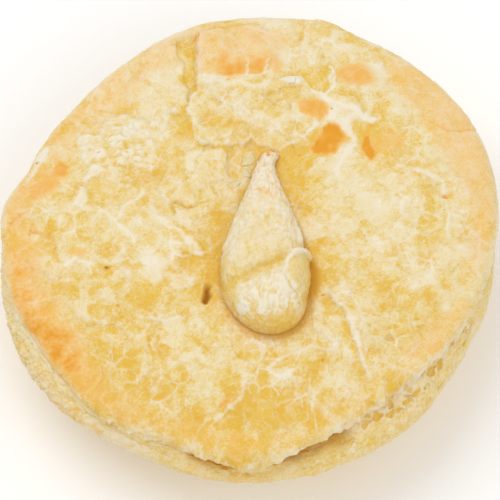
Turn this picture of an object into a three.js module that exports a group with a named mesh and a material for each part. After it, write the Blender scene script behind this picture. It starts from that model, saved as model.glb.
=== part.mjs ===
// A round single-serving steak pie: a solid pastry case with sloping walls, a risen puff pastry lid that
// has torn into plates along its top, and a teardrop of pastry resting on the lid.
// Millimetres, +Z up, standing on z = 0. The front of the pie faces -Y.

import * as THREE from 'three';

// How finely the pieces are divided
const LID_DIVISIONS = 48;                  // grid squares across the lid's top
const AROUND = 4 * LID_DIVISIONS;          // points round the rim of the lid and of the case
const DROP_ROWS = 30;                      // rows along the teardrop
const DROP_COLUMNS = 18;                   // divisions across each row
const WALL_STEPS = 3;                      // bands up the case's wall
const CORNER_STEPS = 2;                    // bands round a small corner
const SHOULDER_STEPS = 4;                  // bands round the lid's edge

// Pastry case
const CASE_RADIUS = 60;                    // rim at its widest, before the bulges
const CASE_FOOT_RADIUS = 46.5;             // flat bottom
const CASE_FOOT_ROUND = 2;                 // rounding between bottom and wall
const CASE_LIP_LOW = 18.8;                 // underside of the rolled rim
const CASE_LIP_MIDDLE = 21.4;              // height of the widest point of the rim
const CASE_LIP_DEPTH = 1.5;                // how far the rim stands out from the wall
const CASE_SHELF = 3.2;                    // from the widest point in to the rim's top corner
const CASE_BULGES = [                      // out by this much, round this angle in degrees
  { at: 45, spread: 40, out: 1.6 },
  { at: 142, spread: 34, out: -3.6 },
  { at: -146, spread: 26, out: 1.9 },
  { at: -118, spread: 16, out: -1.0 },
  { at: -90, spread: 24, out: 1.4 },
  { at: -52, spread: 26, out: 1.2 },
  { at: -27, spread: 18, out: -0.9 },
  { at: -14, spread: 10, out: 0.9 },
  { at: -165, spread: 14, out: -0.5 },
];

// Pastry lid
const LID_RADIUS = 59.2;
const LID_LOW = 25.5;                      // underside, lying on the case's rim
const LID_EDGE_TOP = 30.6;                 // top of the lid where its shoulder starts
const LID_DOME = 3.6;                      // rise from there to the middle
const LID_FLATNESS = 4;                    // how flat the middle stays before it falls to the edge
const LID_SHOULDER = 4.5;                  // width of the rounded edge
const LID_LIP = 1.4;                       // height of the edge's widest point above the underside
const LID_UNDERCUT = 0.8;                  // how far the bottom corner lies inside the widest point
const LID_LAP = 8;                         // width of the band where lid and rim meet
const SEAM_GAP = 0.3;                      // left between pieces that touch
const LID_BULGES = [
  { at: 48, spread: 52, out: 4.4 },
  { at: 18, spread: 14, out: 0.8 },
  { at: 72, spread: 5, out: 1.0 },
  { at: 140, spread: 32, out: -3.9 },
  { at: 172, spread: 9, out: 1.8 },
  { at: -146, spread: 15, out: -2.0 },
  { at: -108, spread: 14, out: -1.3 },
  { at: -90, spread: 12, out: 2.2 },
  { at: -50, spread: 30, out: -4.6 },
  { at: 162, spread: 5, out: -0.9 },
  { at: 98, spread: 9, out: 0.6 },
  { at: 60, spread: 9, out: -0.5 },
  { at: 30, spread: 8, out: 0.5 },
];
const EDGE_DROOP = { at: -88, spread: 7, down: 1.8 };       // front lobe that hangs over the rim
const EDGE_GAPS = [                        // places where the lid has lifted off the rim
  { at: -98, spread: 5, open: 2.6 },
  { at: -77, spread: 6, open: 3.2 },
  { at: -67, spread: 3, open: 1.8 },
];
const GAP_LIFT_SHARE = 0.55;               // share of a gap that the lid rises; the rim sinks the rest

// Long soft swells of the lid's top: wavelength, direction in degrees, height, phase
const SWELLS = [
  { length: 41, turn: 25, height: 0.45, phase: 0.4 },
  { length: 29, turn: 110, height: 0.4, phase: 2.1 },
  { length: 17, turn: 70, height: 0.28, phase: 4.0 },
  { length: 12, turn: 160, height: 0.22, phase: 1.2 },
  { length: 8.5, turn: 35, height: 0.16, phase: 3.1 },
];

// Plates that stand up from the lid (rise above 0) and tears sunk in it (below 0): middle, half length,
// half width, direction of the length in degrees
const RELIEF = [
  { x: 0.9, y: 47.9, long: 12.5, wide: 6, turn: 0, rise: 0.9 },        // browned skin at the back
  { x: -21.1, y: 43.4, long: 9, wide: 7, turn: 60, rise: 0.7 },
  { x: 2.9, y: 31.4, long: 16, wide: 10, turn: 0, rise: 0.4 },           // torn pale layer in front of it
  { x: 24.9, y: 33.4, long: 8, wide: 6, turn: 0, rise: 0.5 },
  { x: -19.1, y: 34.4, long: 4, wide: 3, turn: 15, rise: 0.5 },
  { x: -28.6, y: 24.4, long: 8, wide: 7, turn: 90, rise: 0.6 },        // blistered patch
  { x: -37.6, y: 20.4, long: 5, wide: 4, turn: 110, rise: 0.7 },
  { x: -14.1, y: 14.4, long: 7, wide: 3.8, turn: 80, rise: 0.7 },
  { x: -7.6, y: 16.9, long: 5, wide: 3.4, turn: 80, rise: 0.5 },
  { x: 38.4, y: 3.4, long: 12, wide: 10.5, turn: 90, rise: 0.6 },      // plate with a ragged right edge
  { x: 37.9, y: -30.6, long: 15, wide: 8.5, turn: 110, rise: 0.6 },      // beyond the long step at the right
  { x: 6.9, y: -44.6, long: 13, wide: 7, turn: 5, rise: 0.5 },
  { x: -21.1, y: -41.6, long: 12, wide: 7.5, turn: -18, rise: 0.5 },
  { x: -43.1, y: -8.6, long: 11, wide: 8, turn: 80, rise: 0.5 },
  { x: -13.1, y: 44.4, long: 10, wide: 1.7, turn: 84, rise: -1.2 },      // long crack beside the skin
  { x: 8.9, y: 35.9, long: 4.6, wide: 3.3, turn: -10, rise: -0.9 },    // jagged hole in the pale layer
  { x: -7.1, y: 28.9, long: 3.8, wide: 2.8, turn: 0, rise: -0.7 },
  { x: 19.9, y: 24.4, long: 5, wide: 3.2, turn: 30, rise: -0.6 },
  { x: 30.2, y: 21.9, long: 4, wide: 1.7, turn: 90, rise: -0.5 },
  { x: -33.6, y: 8.4, long: 5, wide: 3.2, turn: -10, rise: -0.7 },
  { x: -34.1, y: -27.6, long: 5.4, wide: 2.2, turn: -15, rise: -0.6 },
  { x: 34.7, y: -28.4, long: 1.8, wide: 1.4, turn: 0, rise: -0.8 },
];
const VENT = { x: -8.8, y: -18, long: 3.2, wide: 1.7, turn: 82, rise: -2.4 };        // beside the teardrop
const RAGGED_WAVES = [                     // how a plate's edge wanders in and out round it
  { lobes: 3, share: 0.1 },
  { lobes: 5, share: 0.08 },
  { lobes: 9, share: 0.06 },
];
const PLATE_EDGE = 0.08;                   // width of a plate's edge as a share of its size

// Teardrop decoration
const DROP_LENGTH = 49.1;
const DROP_HALF_WIDTH = 10.6;
const DROP_TALL = 8.6;                     // height of the bulb
const DROP_TIP_TALL = 2.6;                 // height towards the tip
const DROP_TIP_SHARE = 0.25;               // share of the full width where the tip starts to fall away
const DROP_TIP = { x: 4.7, y: 20.4 };      // tip of the straight midline, which runs to -Y from here
const DROP_TIP_RADIUS = 1.75;              // roundness of the blunt tip
const DROP_CURL = 1.6;                     // how far the tip curls to +X
const DROP_CURL_SHARE = 0.13;              // share of the length that curls
const DROP_LEAN = 1.4;                     // how far the round end leans to +X
const DROP_LEAN_SHARE = 0.75;              // share of the length where it starts to lean
const DROP_TAPER = 1.35;                   // how slender the tip end is
const DROP_ROUND = 2.5;                    // squareness of its cross-section, 2 being an ellipse
const DROP_DENT = { x: 3, y: -15.6, long: 9, wide: 2.8, turn: 26, depth: 1.9 };
const DROP_FLAP = { x: 12.4, y: -14.2, long: 5.4, wide: 3, turn: 75, rise: 0.7 };
const SEAT_HEIGHT = 33.2;                  // flat hollow in the lid that the drop rests in
const SEAT_MARGIN = 3;                     // flat lid left round the drop
const SEAT_BLEND = 7;                      // from the flat to the lid's own height

// Colour and roughness of the baked pastry
const CASE_FINISH = { color: 0xddb97c, roughness: 0.75, metalness: 0 };
const LID_FINISH = { color: 0xebce94, roughness: 0.7, metalness: 0 };
const DROP_FINISH = { color: 0xefdcb0, roughness: 0.8, metalness: 0 };

const { degToRad, smoothstep, lerp } = THREE.MathUtils;

// A bump in angle: 1 at its middle, near 0 two spreads away.
function bump(angle, { at, spread }) {
  const turned = angle - degToRad(at);
  const away = Math.atan2(Math.sin(turned), Math.cos(turned));
  return Math.exp(-((away / degToRad(spread)) ** 2));
}

function bulged(radius, bulges, angle) {
  return bulges.reduce((sum, bulge) => sum + bulge.out * bump(angle, bulge), radius);
}

function lidRadius(angle) {
  return bulged(LID_RADIUS, LID_BULGES, angle);
}

function caseRadius(angle) {
  return bulged(CASE_RADIUS, CASE_BULGES, angle);
}

function seamGap(angle) {
  return EDGE_GAPS.reduce((sum, gap) => sum + gap.open * bump(angle, gap), 0);
}

function edgeDroop(angle) {
  return EDGE_DROOP.down * bump(angle, EDGE_DROOP);
}

// Half width of the drop at a share of its length from the tip: a teardrop curve with a blunt tip.
function dropHalfWidth(share) {
  const turn = Math.acos(1 - 2 * share);
  const widest = 2 * Math.atan(Math.sqrt(1 + DROP_TAPER));
  const teardrop = (t) => Math.sin(t) * Math.sin(t / 2) ** DROP_TAPER;
  const slender = DROP_HALF_WIDTH * teardrop(turn) / teardrop(widest);
  const inward = Math.min(1, share * DROP_LENGTH / DROP_TIP_RADIUS);
  const blunt = DROP_TIP_RADIUS * Math.sqrt(inward * (2 - inward)) * (1 - smoothstep(share, 0.5, 0.9));
  return Math.max(slender, blunt);
}

function dropMidline(share) {
  const curl = DROP_CURL * Math.max(0, 1 - share / DROP_CURL_SHARE) ** 2;
  const lean = DROP_LEAN * smoothstep(share, DROP_LEAN_SHARE, 1);
  return new THREE.Vector2(DROP_TIP.x + curl + lean, DROP_TIP.y - DROP_LENGTH * share);
}

// Distance from a point of the lid to the drop's outline, below 0 inside it.
function dropDistance(x, y) {
  const point = new THREE.Vector2(x, y);
  let nearest = Infinity;
  for (let row = 0; row <= DROP_ROWS; row += 1) {
    const share = row / DROP_ROWS;
    nearest = Math.min(nearest, point.distanceTo(dropMidline(share)) - dropHalfWidth(share));
  }
  return nearest;
}

// Place of a point in an oval: the origin is its middle, and its edge is the unit circle.
function ovalPlace(x, y, oval) {
  const away = new THREE.Vector2(x - oval.x, y - oval.y);
  const turned = away.rotateAround(new THREE.Vector2(), -degToRad(oval.turn));
  return new THREE.Vector2(turned.x / oval.long, turned.y / oval.wide);
}

// Height that one plate or tear adds, with a ragged edge.
function plateHeight(x, y, plate) {
  const place = ovalPlace(x, y, plate);
  const angle = place.angle();
  const start = plate.x + plate.y;
  const wander = RAGGED_WAVES.reduce((sum, wave) => sum + wave.share * Math.sin(wave.lobes * angle + start), 1);
  return plate.rise * (1 - smoothstep(place.length() / wander, 1 - PLATE_EDGE, 1 + PLATE_EDGE));
}

function swellHeight(x, y) {
  return SWELLS.reduce((sum, { length, turn, height, phase }) => {
    const along = x * Math.cos(degToRad(turn)) + y * Math.sin(degToRad(turn));
    return sum + height * Math.sin(2 * Math.PI * along / length + phase);
  }, 0);
}

// Height of the lid's top, with the flat seat of the drop and the vent let into it.
function lidTop(x, y) {
  const outward = Math.hypot(x, y) / (lidRadius(Math.atan2(y, x)) - LID_SHOULDER);
  const dome = LID_EDGE_TOP + LID_DOME * (1 - outward ** LID_FLATNESS);
  const relief = RELIEF.reduce((sum, plate) => sum + plateHeight(x, y, plate), 0);
  const open = dome + swellHeight(x, y) + relief;
  const away = smoothstep(dropDistance(x, y), SEAT_MARGIN, SEAT_MARGIN + SEAT_BLEND);
  return lerp(SEAT_HEIGHT, open, away) + plateHeight(x, y, VENT);
}

// A place on a round piece's outline: radius and height, each a function of the angle round the axis.
function outlinePlace(radius, height) {
  return { radius, height };
}

// Collects points and triangles, and makes a closed mesh from them.
class Surface {
  constructor() {
    this.points = [];
    this.triangles = [];
  }

  add(x, y, z) {
    this.points.push(x, y, z);
    return this.points.length / 3 - 1;
  }

  // Ring of points round the axis, starting where the lid's grid has its corner.
  addRing({ radius, height }) {
    return Array.from({ length: AROUND }, (_, step) => {
      const angle = 2 * Math.PI * step / AROUND - Math.PI / 4;
      return this.add(radius(angle) * Math.cos(angle), radius(angle) * Math.sin(angle), height(angle));
    });
  }

  // Rings along a quarter of an ellipse from one place to another, which leave it flat or upright.
  addArc(from, to, steps, leavesFlat) {
    return Array.from({ length: steps }, (_, step) => {
      const turn = (Math.PI / 2) * (step + 1) / steps;
      const outward = leavesFlat ? Math.sin(turn) : 1 - Math.cos(turn);
      const upward = leavesFlat ? 1 - Math.cos(turn) : Math.sin(turn);
      return this.addRing(outlinePlace(
        (angle) => lerp(from.radius(angle), to.radius(angle), outward),
        (angle) => lerp(from.height(angle), to.height(angle), upward),
      ));
    });
  }

  // Rings along a straight slope from one place to another.
  addSlope(from, to, steps) {
    return Array.from({ length: steps }, (_, step) => {
      const share = (step + 1) / steps;
      return this.addRing(outlinePlace(
        (angle) => lerp(from.radius(angle), to.radius(angle), share),
        (angle) => lerp(from.height(angle), to.height(angle), share),
      ));
    });
  }

  // Four corners, counterclockwise seen from outside.
  quad(a, b, c, d) {
    this.triangles.push(a, b, c, a, c, d);
  }

  // Bands between rings that follow each other upwards over the outside.
  bands(rings) {
    rings.slice(1).forEach((upper, index) => {
      const lower = rings[index];
      lower.forEach((point, step) => {
        const next = (step + 1) % lower.length;
        this.quad(point, lower[next], upper[next], upper[step]);
      });
    });
  }

  // Cap from a ring to one point, facing up, or down where it closes the bottom.
  cap(ring, centre, facesDown) {
    ring.forEach((point, step) => {
      const next = ring[(step + 1) % ring.length];
      this.triangles.push(...(facesDown ? [next, point, centre] : [point, next, centre]));
    });
  }

  mesh(name, finish) {
    const geometry = new THREE.BufferGeometry();
    geometry.setAttribute('position', new THREE.Float32BufferAttribute(this.points, 3));
    geometry.setIndex(this.triangles);
    geometry.computeVertexNormals();
    const mesh = new THREE.Mesh(geometry, new THREE.MeshStandardMaterial(finish));
    mesh.name = name;
    return mesh;
  }
}

// Solid case: flat bottom, sloping wall, rolled rim, and a top that the lid covers.
function makeCase() {
  const surface = new Surface();
  const topHeight = LID_LOW - SEAM_GAP;
  const rimSink = (angle) => edgeDroop(angle) + (1 - GAP_LIFT_SHARE) * seamGap(angle);
  const foot = outlinePlace(() => CASE_FOOT_RADIUS, () => 0);
  const wallFoot = outlinePlace(() => CASE_FOOT_RADIUS + CASE_FOOT_ROUND, () => CASE_FOOT_ROUND);
  const wallTop = outlinePlace((angle) => caseRadius(angle) - CASE_LIP_DEPTH, () => CASE_LIP_LOW);
  const rimSide = outlinePlace(caseRadius, () => CASE_LIP_MIDDLE);
  const rimTop = outlinePlace((angle) => caseRadius(angle) - CASE_SHELF, (angle) => topHeight - rimSink(angle));
  const lapEnd = outlinePlace((angle) => lidRadius(angle) - LID_LAP, () => topHeight);
  const rings = [
    surface.addRing(foot),
    ...surface.addArc(foot, wallFoot, CORNER_STEPS, true),
    ...surface.addSlope(wallFoot, wallTop, WALL_STEPS),
    ...surface.addArc(wallTop, rimSide, CORNER_STEPS, true),
    ...surface.addArc(rimSide, rimTop, CORNER_STEPS, false),
    surface.addRing(lapEnd),
  ];
  surface.bands(rings);
  surface.cap(rings.at(0), surface.add(0, 0, 0), true);
  surface.cap(rings.at(-1), surface.add(0, 0, topHeight), false);
  return surface.mesh('base_crust', CASE_FINISH);
}

// Square grid place from -1 to 1 taken to a round disc, so that the grid's edge becomes the rim.
function discPlace(a, b) {
  if (a === 0 && b === 0) {
    return new THREE.Vector2();
  }
  const sideways = Math.abs(a) > Math.abs(b);
  const radius = sideways ? a : b;
  const angle = sideways ? (Math.PI / 4) * (b / a) : Math.PI / 2 - (Math.PI / 4) * (a / b);
  return new THREE.Vector2(radius * Math.cos(angle), radius * Math.sin(angle));
}

// Grid of points over the lid's top, out to where its shoulder starts.
function addLidGrid(surface) {
  const lines = Array.from({ length: LID_DIVISIONS + 1 }, (_, step) => 2 * step / LID_DIVISIONS - 1);
  return lines.map((a) => lines.map((b) => {
    const place = discPlace(a, b);
    place.multiplyScalar(lidRadius(Math.atan2(place.y, place.x)) - LID_SHOULDER);
    return surface.add(place.x, place.y, lidTop(place.x, place.y));
  }));
}

// Squares of the grid, each cut along the diagonal that points at the middle of the lid.
function fillLidGrid(surface, grid) {
  for (let column = 0; column < LID_DIVISIONS; column += 1) {
    for (let row = 0; row < LID_DIVISIONS; row += 1) {
      const [left, right] = [grid[column], grid[column + 1]];
      const corners = [left[row], right[row], right[row + 1], left[row + 1]];
      const fallingDiagonal = (2 * column < LID_DIVISIONS) !== (2 * row < LID_DIVISIONS);
      if (fallingDiagonal) {
        corners.push(corners.shift());
      }
      surface.quad(...corners);
    }
  }
}

// Points along the grid's four sides, counterclockwise from its corner at +X, -Y.
function lidGridRim(grid) {
  const last = LID_DIVISIONS;
  const steps = Array.from({ length: LID_DIVISIONS }, (_, step) => step);
  return [
    ...steps.map((step) => grid[last][step]),
    ...steps.map((step) => grid[last - step][last]),
    ...steps.map((step) => grid[0][last - step]),
    ...steps.map((step) => grid[step][0]),
  ];
}

// Lid: plates and tears on top, a rounded edge, and an underside that lies on the rim.
function makeLid() {
  const surface = new Surface();
  const grid = addLidGrid(surface);
  fillLidGrid(surface, grid);
  const low = (angle) => LID_LOW - edgeDroop(angle) + GAP_LIFT_SHARE * seamGap(angle);
  const reach = (angle) => lidRadius(angle) - LID_SHOULDER;
  const edgeTop = (angle) => lidTop(reach(angle) * Math.cos(angle), reach(angle) * Math.sin(angle));
  const shoulderTop = outlinePlace(reach, edgeTop);
  const edgeSide = outlinePlace(lidRadius, (angle) => low(angle) + LID_LIP);
  const edgeLow = outlinePlace((angle) => lidRadius(angle) - LID_UNDERCUT, low);
  const lapEnd = outlinePlace((angle) => lidRadius(angle) - LID_LAP, () => LID_LOW);
  const rings = [
    lidGridRim(grid),
    ...surface.addArc(shoulderTop, edgeSide, SHOULDER_STEPS, true),
    surface.addRing(edgeLow),
    surface.addRing(lapEnd),
  ].reverse();
  surface.bands(rings);
  surface.cap(rings.at(0), surface.add(0, 0, LID_LOW), true);
  return surface.mesh('lid_crust', LID_FINISH);
}

// Height of the drop's top above its flat underside.
function dropHeight(share, across, x, y) {
  const bulk = dropHalfWidth(share) / DROP_HALF_WIDTH;
  const ridge = lerp(DROP_TIP_TALL, DROP_TALL, bulk) * Math.min(1, bulk / DROP_TIP_SHARE);
  const section = Math.sqrt(1 - Math.abs(across) ** DROP_ROUND);
  const dent = DROP_DENT.depth * Math.exp(-ovalPlace(x, y, DROP_DENT).lengthSq());
  const flap = DROP_FLAP.rise * Math.exp(-(ovalPlace(x, y, DROP_FLAP).lengthSq() ** 2));
  return section * (ridge - dent + flap);
}

// Teardrop: rows of points across the midline, arched over a flat underside.
function makeDrop() {
  const surface = new Surface();
  const seat = SEAT_HEIGHT + SEAM_GAP;
  const rows = [];
  for (let row = 1; row < DROP_ROWS; row += 1) {
    const share = (1 - Math.cos(Math.PI * row / DROP_ROWS)) / 2;
    const middle = dropMidline(share);
    const line = [];
    for (let column = 0; column <= DROP_COLUMNS; column += 1) {
      const across = -Math.cos(Math.PI * column / DROP_COLUMNS);
      const x = middle.x + across * dropHalfWidth(share);
      line.push(surface.add(x, middle.y, seat + dropHeight(share, across, x, middle.y)));
    }
    rows.push(line);
  }
  rows.slice(1).forEach((line, index) => {
    const before = rows[index];
    for (let column = 0; column < DROP_COLUMNS; column += 1) {
      surface.quad(line[column], line[column + 1], before[column + 1], before[column]);
    }
    surface.quad(line.at(-1), line[0], before[0], before.at(-1));
  });
  const tip = dropMidline(0);
  const end = dropMidline(1);
  surface.cap(rows.at(0), surface.add(tip.x, tip.y, seat), false);
  surface.cap(rows.at(-1), surface.add(end.x, end.y, seat), true);
  return surface.mesh('pastry_drop', DROP_FINISH);
}

const pie = new THREE.Group();
pie.add(makeCase(), makeLid(), makeDrop());

// The pie stands with the middle of its outline over the origin.
const middle = new THREE.Box3().setFromObject(pie).getCenter(new THREE.Vector3());
pie.position.set(-middle.x, -middle.y, 0);

const steakPie = new THREE.Group();
steakPie.add(pie);

export default steakPie;
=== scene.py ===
"""Steak pie: a puff pastry pie with a torn, browned lid and a teardrop of pastry on it.

Laid out as an add-on. Each piece is shaped in millimetres in the pie's own frame, as the solids are,
and is set down in metres. The front of the pie faces -Y.
"""

import math
from functools import partial
from types import SimpleNamespace

import bpy
import numpy as np
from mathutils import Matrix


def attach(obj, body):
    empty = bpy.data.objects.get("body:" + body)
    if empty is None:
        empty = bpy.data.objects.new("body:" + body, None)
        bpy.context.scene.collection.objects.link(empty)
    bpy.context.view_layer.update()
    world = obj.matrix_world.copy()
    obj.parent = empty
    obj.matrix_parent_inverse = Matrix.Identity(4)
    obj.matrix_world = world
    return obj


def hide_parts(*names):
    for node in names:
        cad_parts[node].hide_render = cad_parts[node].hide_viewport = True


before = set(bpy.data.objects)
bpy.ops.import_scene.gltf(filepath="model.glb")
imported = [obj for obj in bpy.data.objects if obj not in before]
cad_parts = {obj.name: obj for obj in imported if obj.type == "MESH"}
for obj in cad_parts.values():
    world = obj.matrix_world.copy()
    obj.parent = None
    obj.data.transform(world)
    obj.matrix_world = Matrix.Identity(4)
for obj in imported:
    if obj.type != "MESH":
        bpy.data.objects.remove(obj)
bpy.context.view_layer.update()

bl_info = {
    "name": "Steak Pie",
    "version": (1, 0, 0),
    "blender": (4, 5, 0),
    "location": "3D View > Sidebar > Pie",
    "description": "Makes a puff pastry pie with a flaky lid and a pastry teardrop",
    "category": "Add Mesh",
}

MM = 0.001

# How finely the pieces are divided
LID_DIVISIONS = 272
LID_AROUND = 4 * LID_DIVISIONS
SHOULDER_STEPS = 12
UNDERCUT_STEPS = 4
UNDERSIDE_STEPS = 2
CASE_AROUND = 900
DROP_ROWS = 200
DROP_COLUMNS = 130
MIDLINE_STEPS = 60
OUTLINE_STEPS = 28
FORM_STEPS = 720
BOTTOM_STEPS = 12
FOOT_STEPS = 5
WALL_STEPS = 22
LIP_STEPS = 9
ROLL_STEPS = 12
LAP_STEPS = 3

# Share of the bottom's radius that lies inside its innermost ring
BOTTOM_HOLE = 0.06

# Proportions that the solids share, in millimetres and degrees
FOOT_ROUND = 2.0
LIP_LOW = 18.8
LIP_MIDDLE = 21.4
LIP_DEPTH = 1.5
SHELF = 3.2
LID_FLATNESS = 4
LID_SHOULDER = 4.5
LID_LIP = 1.4
LID_UNDERCUT = 0.8
LID_LAP = 8.0
SEAM_GAP = 0.3
GAP_LIFT_SHARE = 0.55
DROP_TIP = (4.7, 20.4)
DROP_TIP_TALL = 2.6
DROP_TIP_SHARE = 0.25
DROP_CURL = 1.6
DROP_CURL_SHARE = 0.13
DROP_TAPER = 1.35
DROP_TIP_RADIUS = 1.75
DROP_NIB = 1.0
DROP_NIB_SHARE = 0.022
DROP_NECK = 0.6
DROP_NECK_SHARE = 0.1
DROP_NECK_SPREAD = 0.05
DROP_LEAN = 1.4
DROP_LEAN_SHARE = 0.75
DROP_ROUND = 2.5
SEAT_HEIGHT = 33.2
SEAT_MARGIN = 3.0
SEAT_BLEND = 7.0

# Bulges of the outlines: angle and spread in degrees, and how far out
CASE_BULGES = (
    (45, 40, 1.6), (142, 34, -3.6), (-146, 26, 1.9), (-118, 16, -1), (-90, 24, 1.4), (-52, 26, 1.2),
    (-27, 18, -0.9), (-14, 10, 0.9), (-165, 14, -0.5),
)
LID_BULGES = (
    (48, 52, 4.4), (18, 14, 0.8), (72, 5, 1), (140, 32, -3.9), (172, 9, 1.8), (-146, 15, -2),
    (-108, 14, -1.3), (-90, 12, 2.2), (-50, 30, -4.6), (162, 5, -0.9), (98, 9, 0.6), (60, 9, -0.5),
    (30, 8, 0.5),
)
EDGE_DROOP = ((-88, 7, 1.8),)
TORN_EDGES = ((-40, 24, 1),)
TORN_SQUARE = 0.45
EDGE_GAPS = ((-98, 5, 2.6), (-77, 6, 2.5), (-67, 3, 1.8))

# Torn layers that fill the seam: points round and across them, where they start on the rim's roll,
# how deep and how proud they are, and their pits
SEAM_AROUND = 1300
SEAM_STEPS = 28
SEAM_START = 0.45
SEAM_TORN_START = 0.14
SEAM_DEPTH = 5.0
SEAM_PROUD = 0.25
PIT_SIZE = 3.0
PIT_DEPTH = 0.7
PIT_ROOM = 0.5

# Torn stretches of the seam: angle and spread in degrees, and how torn
SEAM_TORN = ((-40, 26, 1), (-90, 22, 0.35), (-150, 24, 0.3))

# Radius at which the seam is rolled out flat for its pattern
SEAM_RADIUS = 60

# Shade in the seam's open gaps, and where it is deepest
GAP_SHADE = 0.4
DEEPEST_GAP = ((-98, 8, 0.55),)

# Stretches of the edge and the rim: angle and spread in degrees, and how strong
LEFT_SIDE = ((-156, 30, 1),)
FRONT_EDGE = ((-75, 62, 1),)
EDGE_WHITE = ((-75, 62, -0.3), (-156, 30, -0.3), (-42, 18, 0.45))
CASE_PALE = ((-120, 11, 0.3),)
CASE_GOLD = ((-92, 15, 0.28), (-132, 13, 0.3), (-54, 10, 0.2))
CASE_BROWN = ((-156, 30, 0.14), (-92, 15, 0.24), (-38, 26, 0.14))
CASE_CRUMBS = ((-132, 13, 1),)
CASE_TORN = ((-38, 26, 1),)

# Thickness of the layers in the lid's edge
EDGE_LAYER = 0.85

# Long soft swells of the lid: wavelength, direction in degrees, height, phase
SWELLS = (
    (41, 25, 0.45, 0.4), (29, 110, 0.4, 2.1), (17, 70, 0.28, 4), (12, 160, 0.22, 1.2),
    (8.5, 35, 0.16, 3.1),
)

# Browning of the lid's rim: angle and spread in degrees, and how strong
RIM_BROWNING = (
    (163, 15, 0.46), (-165, 18, 0.76), (-143, 12, 0.72), (128, 24, 0.46), (92, 20, 0.2), (40, 17, 0.42),
    (18, 15, 0.5), (-4, 12, 0.3), (-33, 10, 0.45), (-65, 20, 0.26), (-95, 14, 0.34), (-121, 16, 0.44),
)

# Where the browned band starts, as a share of the lid's radius, and where it reaches further in
BAND_INNER = 0.8
BAND_REACH = ((-165, 30, 0.04), (130, 28, 0.14), (28, 30, 0.06))

# Broad differences of the lid's colour: place, spread, and how much more butter or flour shows. The extra
# butter towards the front left is partly painted shade, where the lid turns down away from the light.
BROAD_TONES = (
    (1, -47, 20, 0.06, -0.03), (-5, -54, 9, 0.1, -0.05), (-29, -39, 12, 0.42, -0.1),
    (19, -39, 10, 0.04, 0), (12, 16, 6, 0.6, -0.25), (-8, -6, 5.5, 0.7, -0.25),
    (-29, 2.5, 17, -0.1, 0.1), (33, 5.5, 17, -0.02, 0.03), (-7, 5, 6, 0.3, -0.1),
    (-30, 24.5, 9, -0.3, 0.15), (-2, 27, 11, 0.2, -0.14), (18, 22, 8, 0.1, -0.1),
    (34, 25, 8, 0.5, -0.2), (3, 54, 15, -0.3, 0.1), (-29, 43, 12, -0.45, 0.06),
    (42, 36, 11, -0.5, 0.12), (26, 49, 9, -0.45, 0.1), (-45, -20, 10, 0.2, 0), (-55, 11, 6, -0.35, 0.1),
    (56, 5, 8, -0.35, 0.12), (-9, -13, 5, 0.6, -0.25), (17, -7, 4, 0.4, -0.15),
    (17, -15, 4, 0.5, -0.15), (6, -31, 5, 0.1, 0), (-42, 15, 6, 0.4, -0.05), (-30, -24, 7, 0.2, -0.05),
    (-7, -49, 8, 0.1, -0.1), (27, 33, 4, -0.1, 0.2), (-34, -43, 9, 0.4, -0.15),
    (-14, -50, 7, 0.35, -0.12), (12.5, 24, 5, 0.6, -0.3), (19, 40, 6, 0.4, -0.25),
    (31, 13, 7, -0.1, 0.05), (31, -14, 7, 0.25, -0.1), (44, 14, 7, -0.1, 0.04),
    (18, -37, 6, -0.35, 0.1), (-18, -36, 6, -0.45, 0.15), (-30, -12, 7, -0.4, 0.15),
    (-30, 2, 6, -0.15, 0.05), (26, 1, 9, -0.3, 0.1), (36, -2, 6, -0.3, 0.1), (-13, 28, 5, 0.5, -0.2),
    (-18, -9, 6, 0.25, -0.12), (-18, -20, 6, 0.3, -0.12), (21, 13, 7, -0.4, 0.15),
    (33, 3, 5, -0.2, 0.05), (-8, -24, 6, 0.25, -0.08), (7, -38, 7, 0.25, -0.1),
    (-30, 13, 7, 0.5, -0.18), (-19, -46, 6, 0.3, -0.12), (18, -47, 6, 0.12, -0.05),
    (4, -58, 8, 0.15, -0.05), (37, -20, 13, 0.16, -0.06), (19.5, 41.5, 6, 0.3, -0.15),
    (32, 28, 6, 0.35, -0.15), (8, 54, 6, -0.3, 0.1), (-22, 28, 8, -0.3, 0.15),
    (44, -12, 7, -0.15, 0.05), (55, -10, 6, -0.3, 0.15), (19, -11, 5, 0.25, -0.1),
    (-4, -58, 7, 0.25, -0.25), (-38, -3, 10, 0.2, -0.08), (44, 1, 6, 0.25, -0.1),
    (7, 41, 5, -0.25, 0.1), (-18, 50, 5, -0.2, 0.1), (-30, -46, 9, 0.22, -0.1),
    (-29, -36, 6, 0.2, -0.1), (32, -37, 6, 0.2, -0.1), (-5, -31, 6, -0.3, 0.1),
)

# Tones of baking and of painted shade, each with the most that it can reach; above 1 the shade tone also
# marks dark specks
TONES = {"butter": 1.5, "pale": 1, "brown": 1, "shade": 1.5}

# Torn sheets from one lump of their noise to the next
LEAF_STEPS = 2.3

# Place and spread of the smoothest part of the lid
CALM = (35, 3, 20)

# Butter above which the lid's hollows deepen less, and the share of the rest that still counts
RICH = 0.62
RICH_SHARE = 0.42

# Place and half widths of the blistered patch
BLISTERS = (-28.6, 24.4, 8.5, 9)

# Creases of the pastry: size of the plates between them, width and strength
CREASES = ((4.6, 0.5, 0.46), (2.1, 0.34, 0.24))

# Pastry of each piece: its material, roughness, and how strong its grain and its small plates are
PASTRY = {
    "case_skin": ("case_pastry", 0.7, 0.7, 0.5),
    "seam_layers": ("layer_pastry", 0.7, 0.7, 0.3),
    "lid_skin": ("lid_pastry", 0.62, 0.8, 1.0),
    "lid_flakes": ("flake_pastry", 0.62, 0.8, 0.5),
    "drop_skin": ("teardrop_pastry", 0.7, 0.65, 0.2),
}

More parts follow.
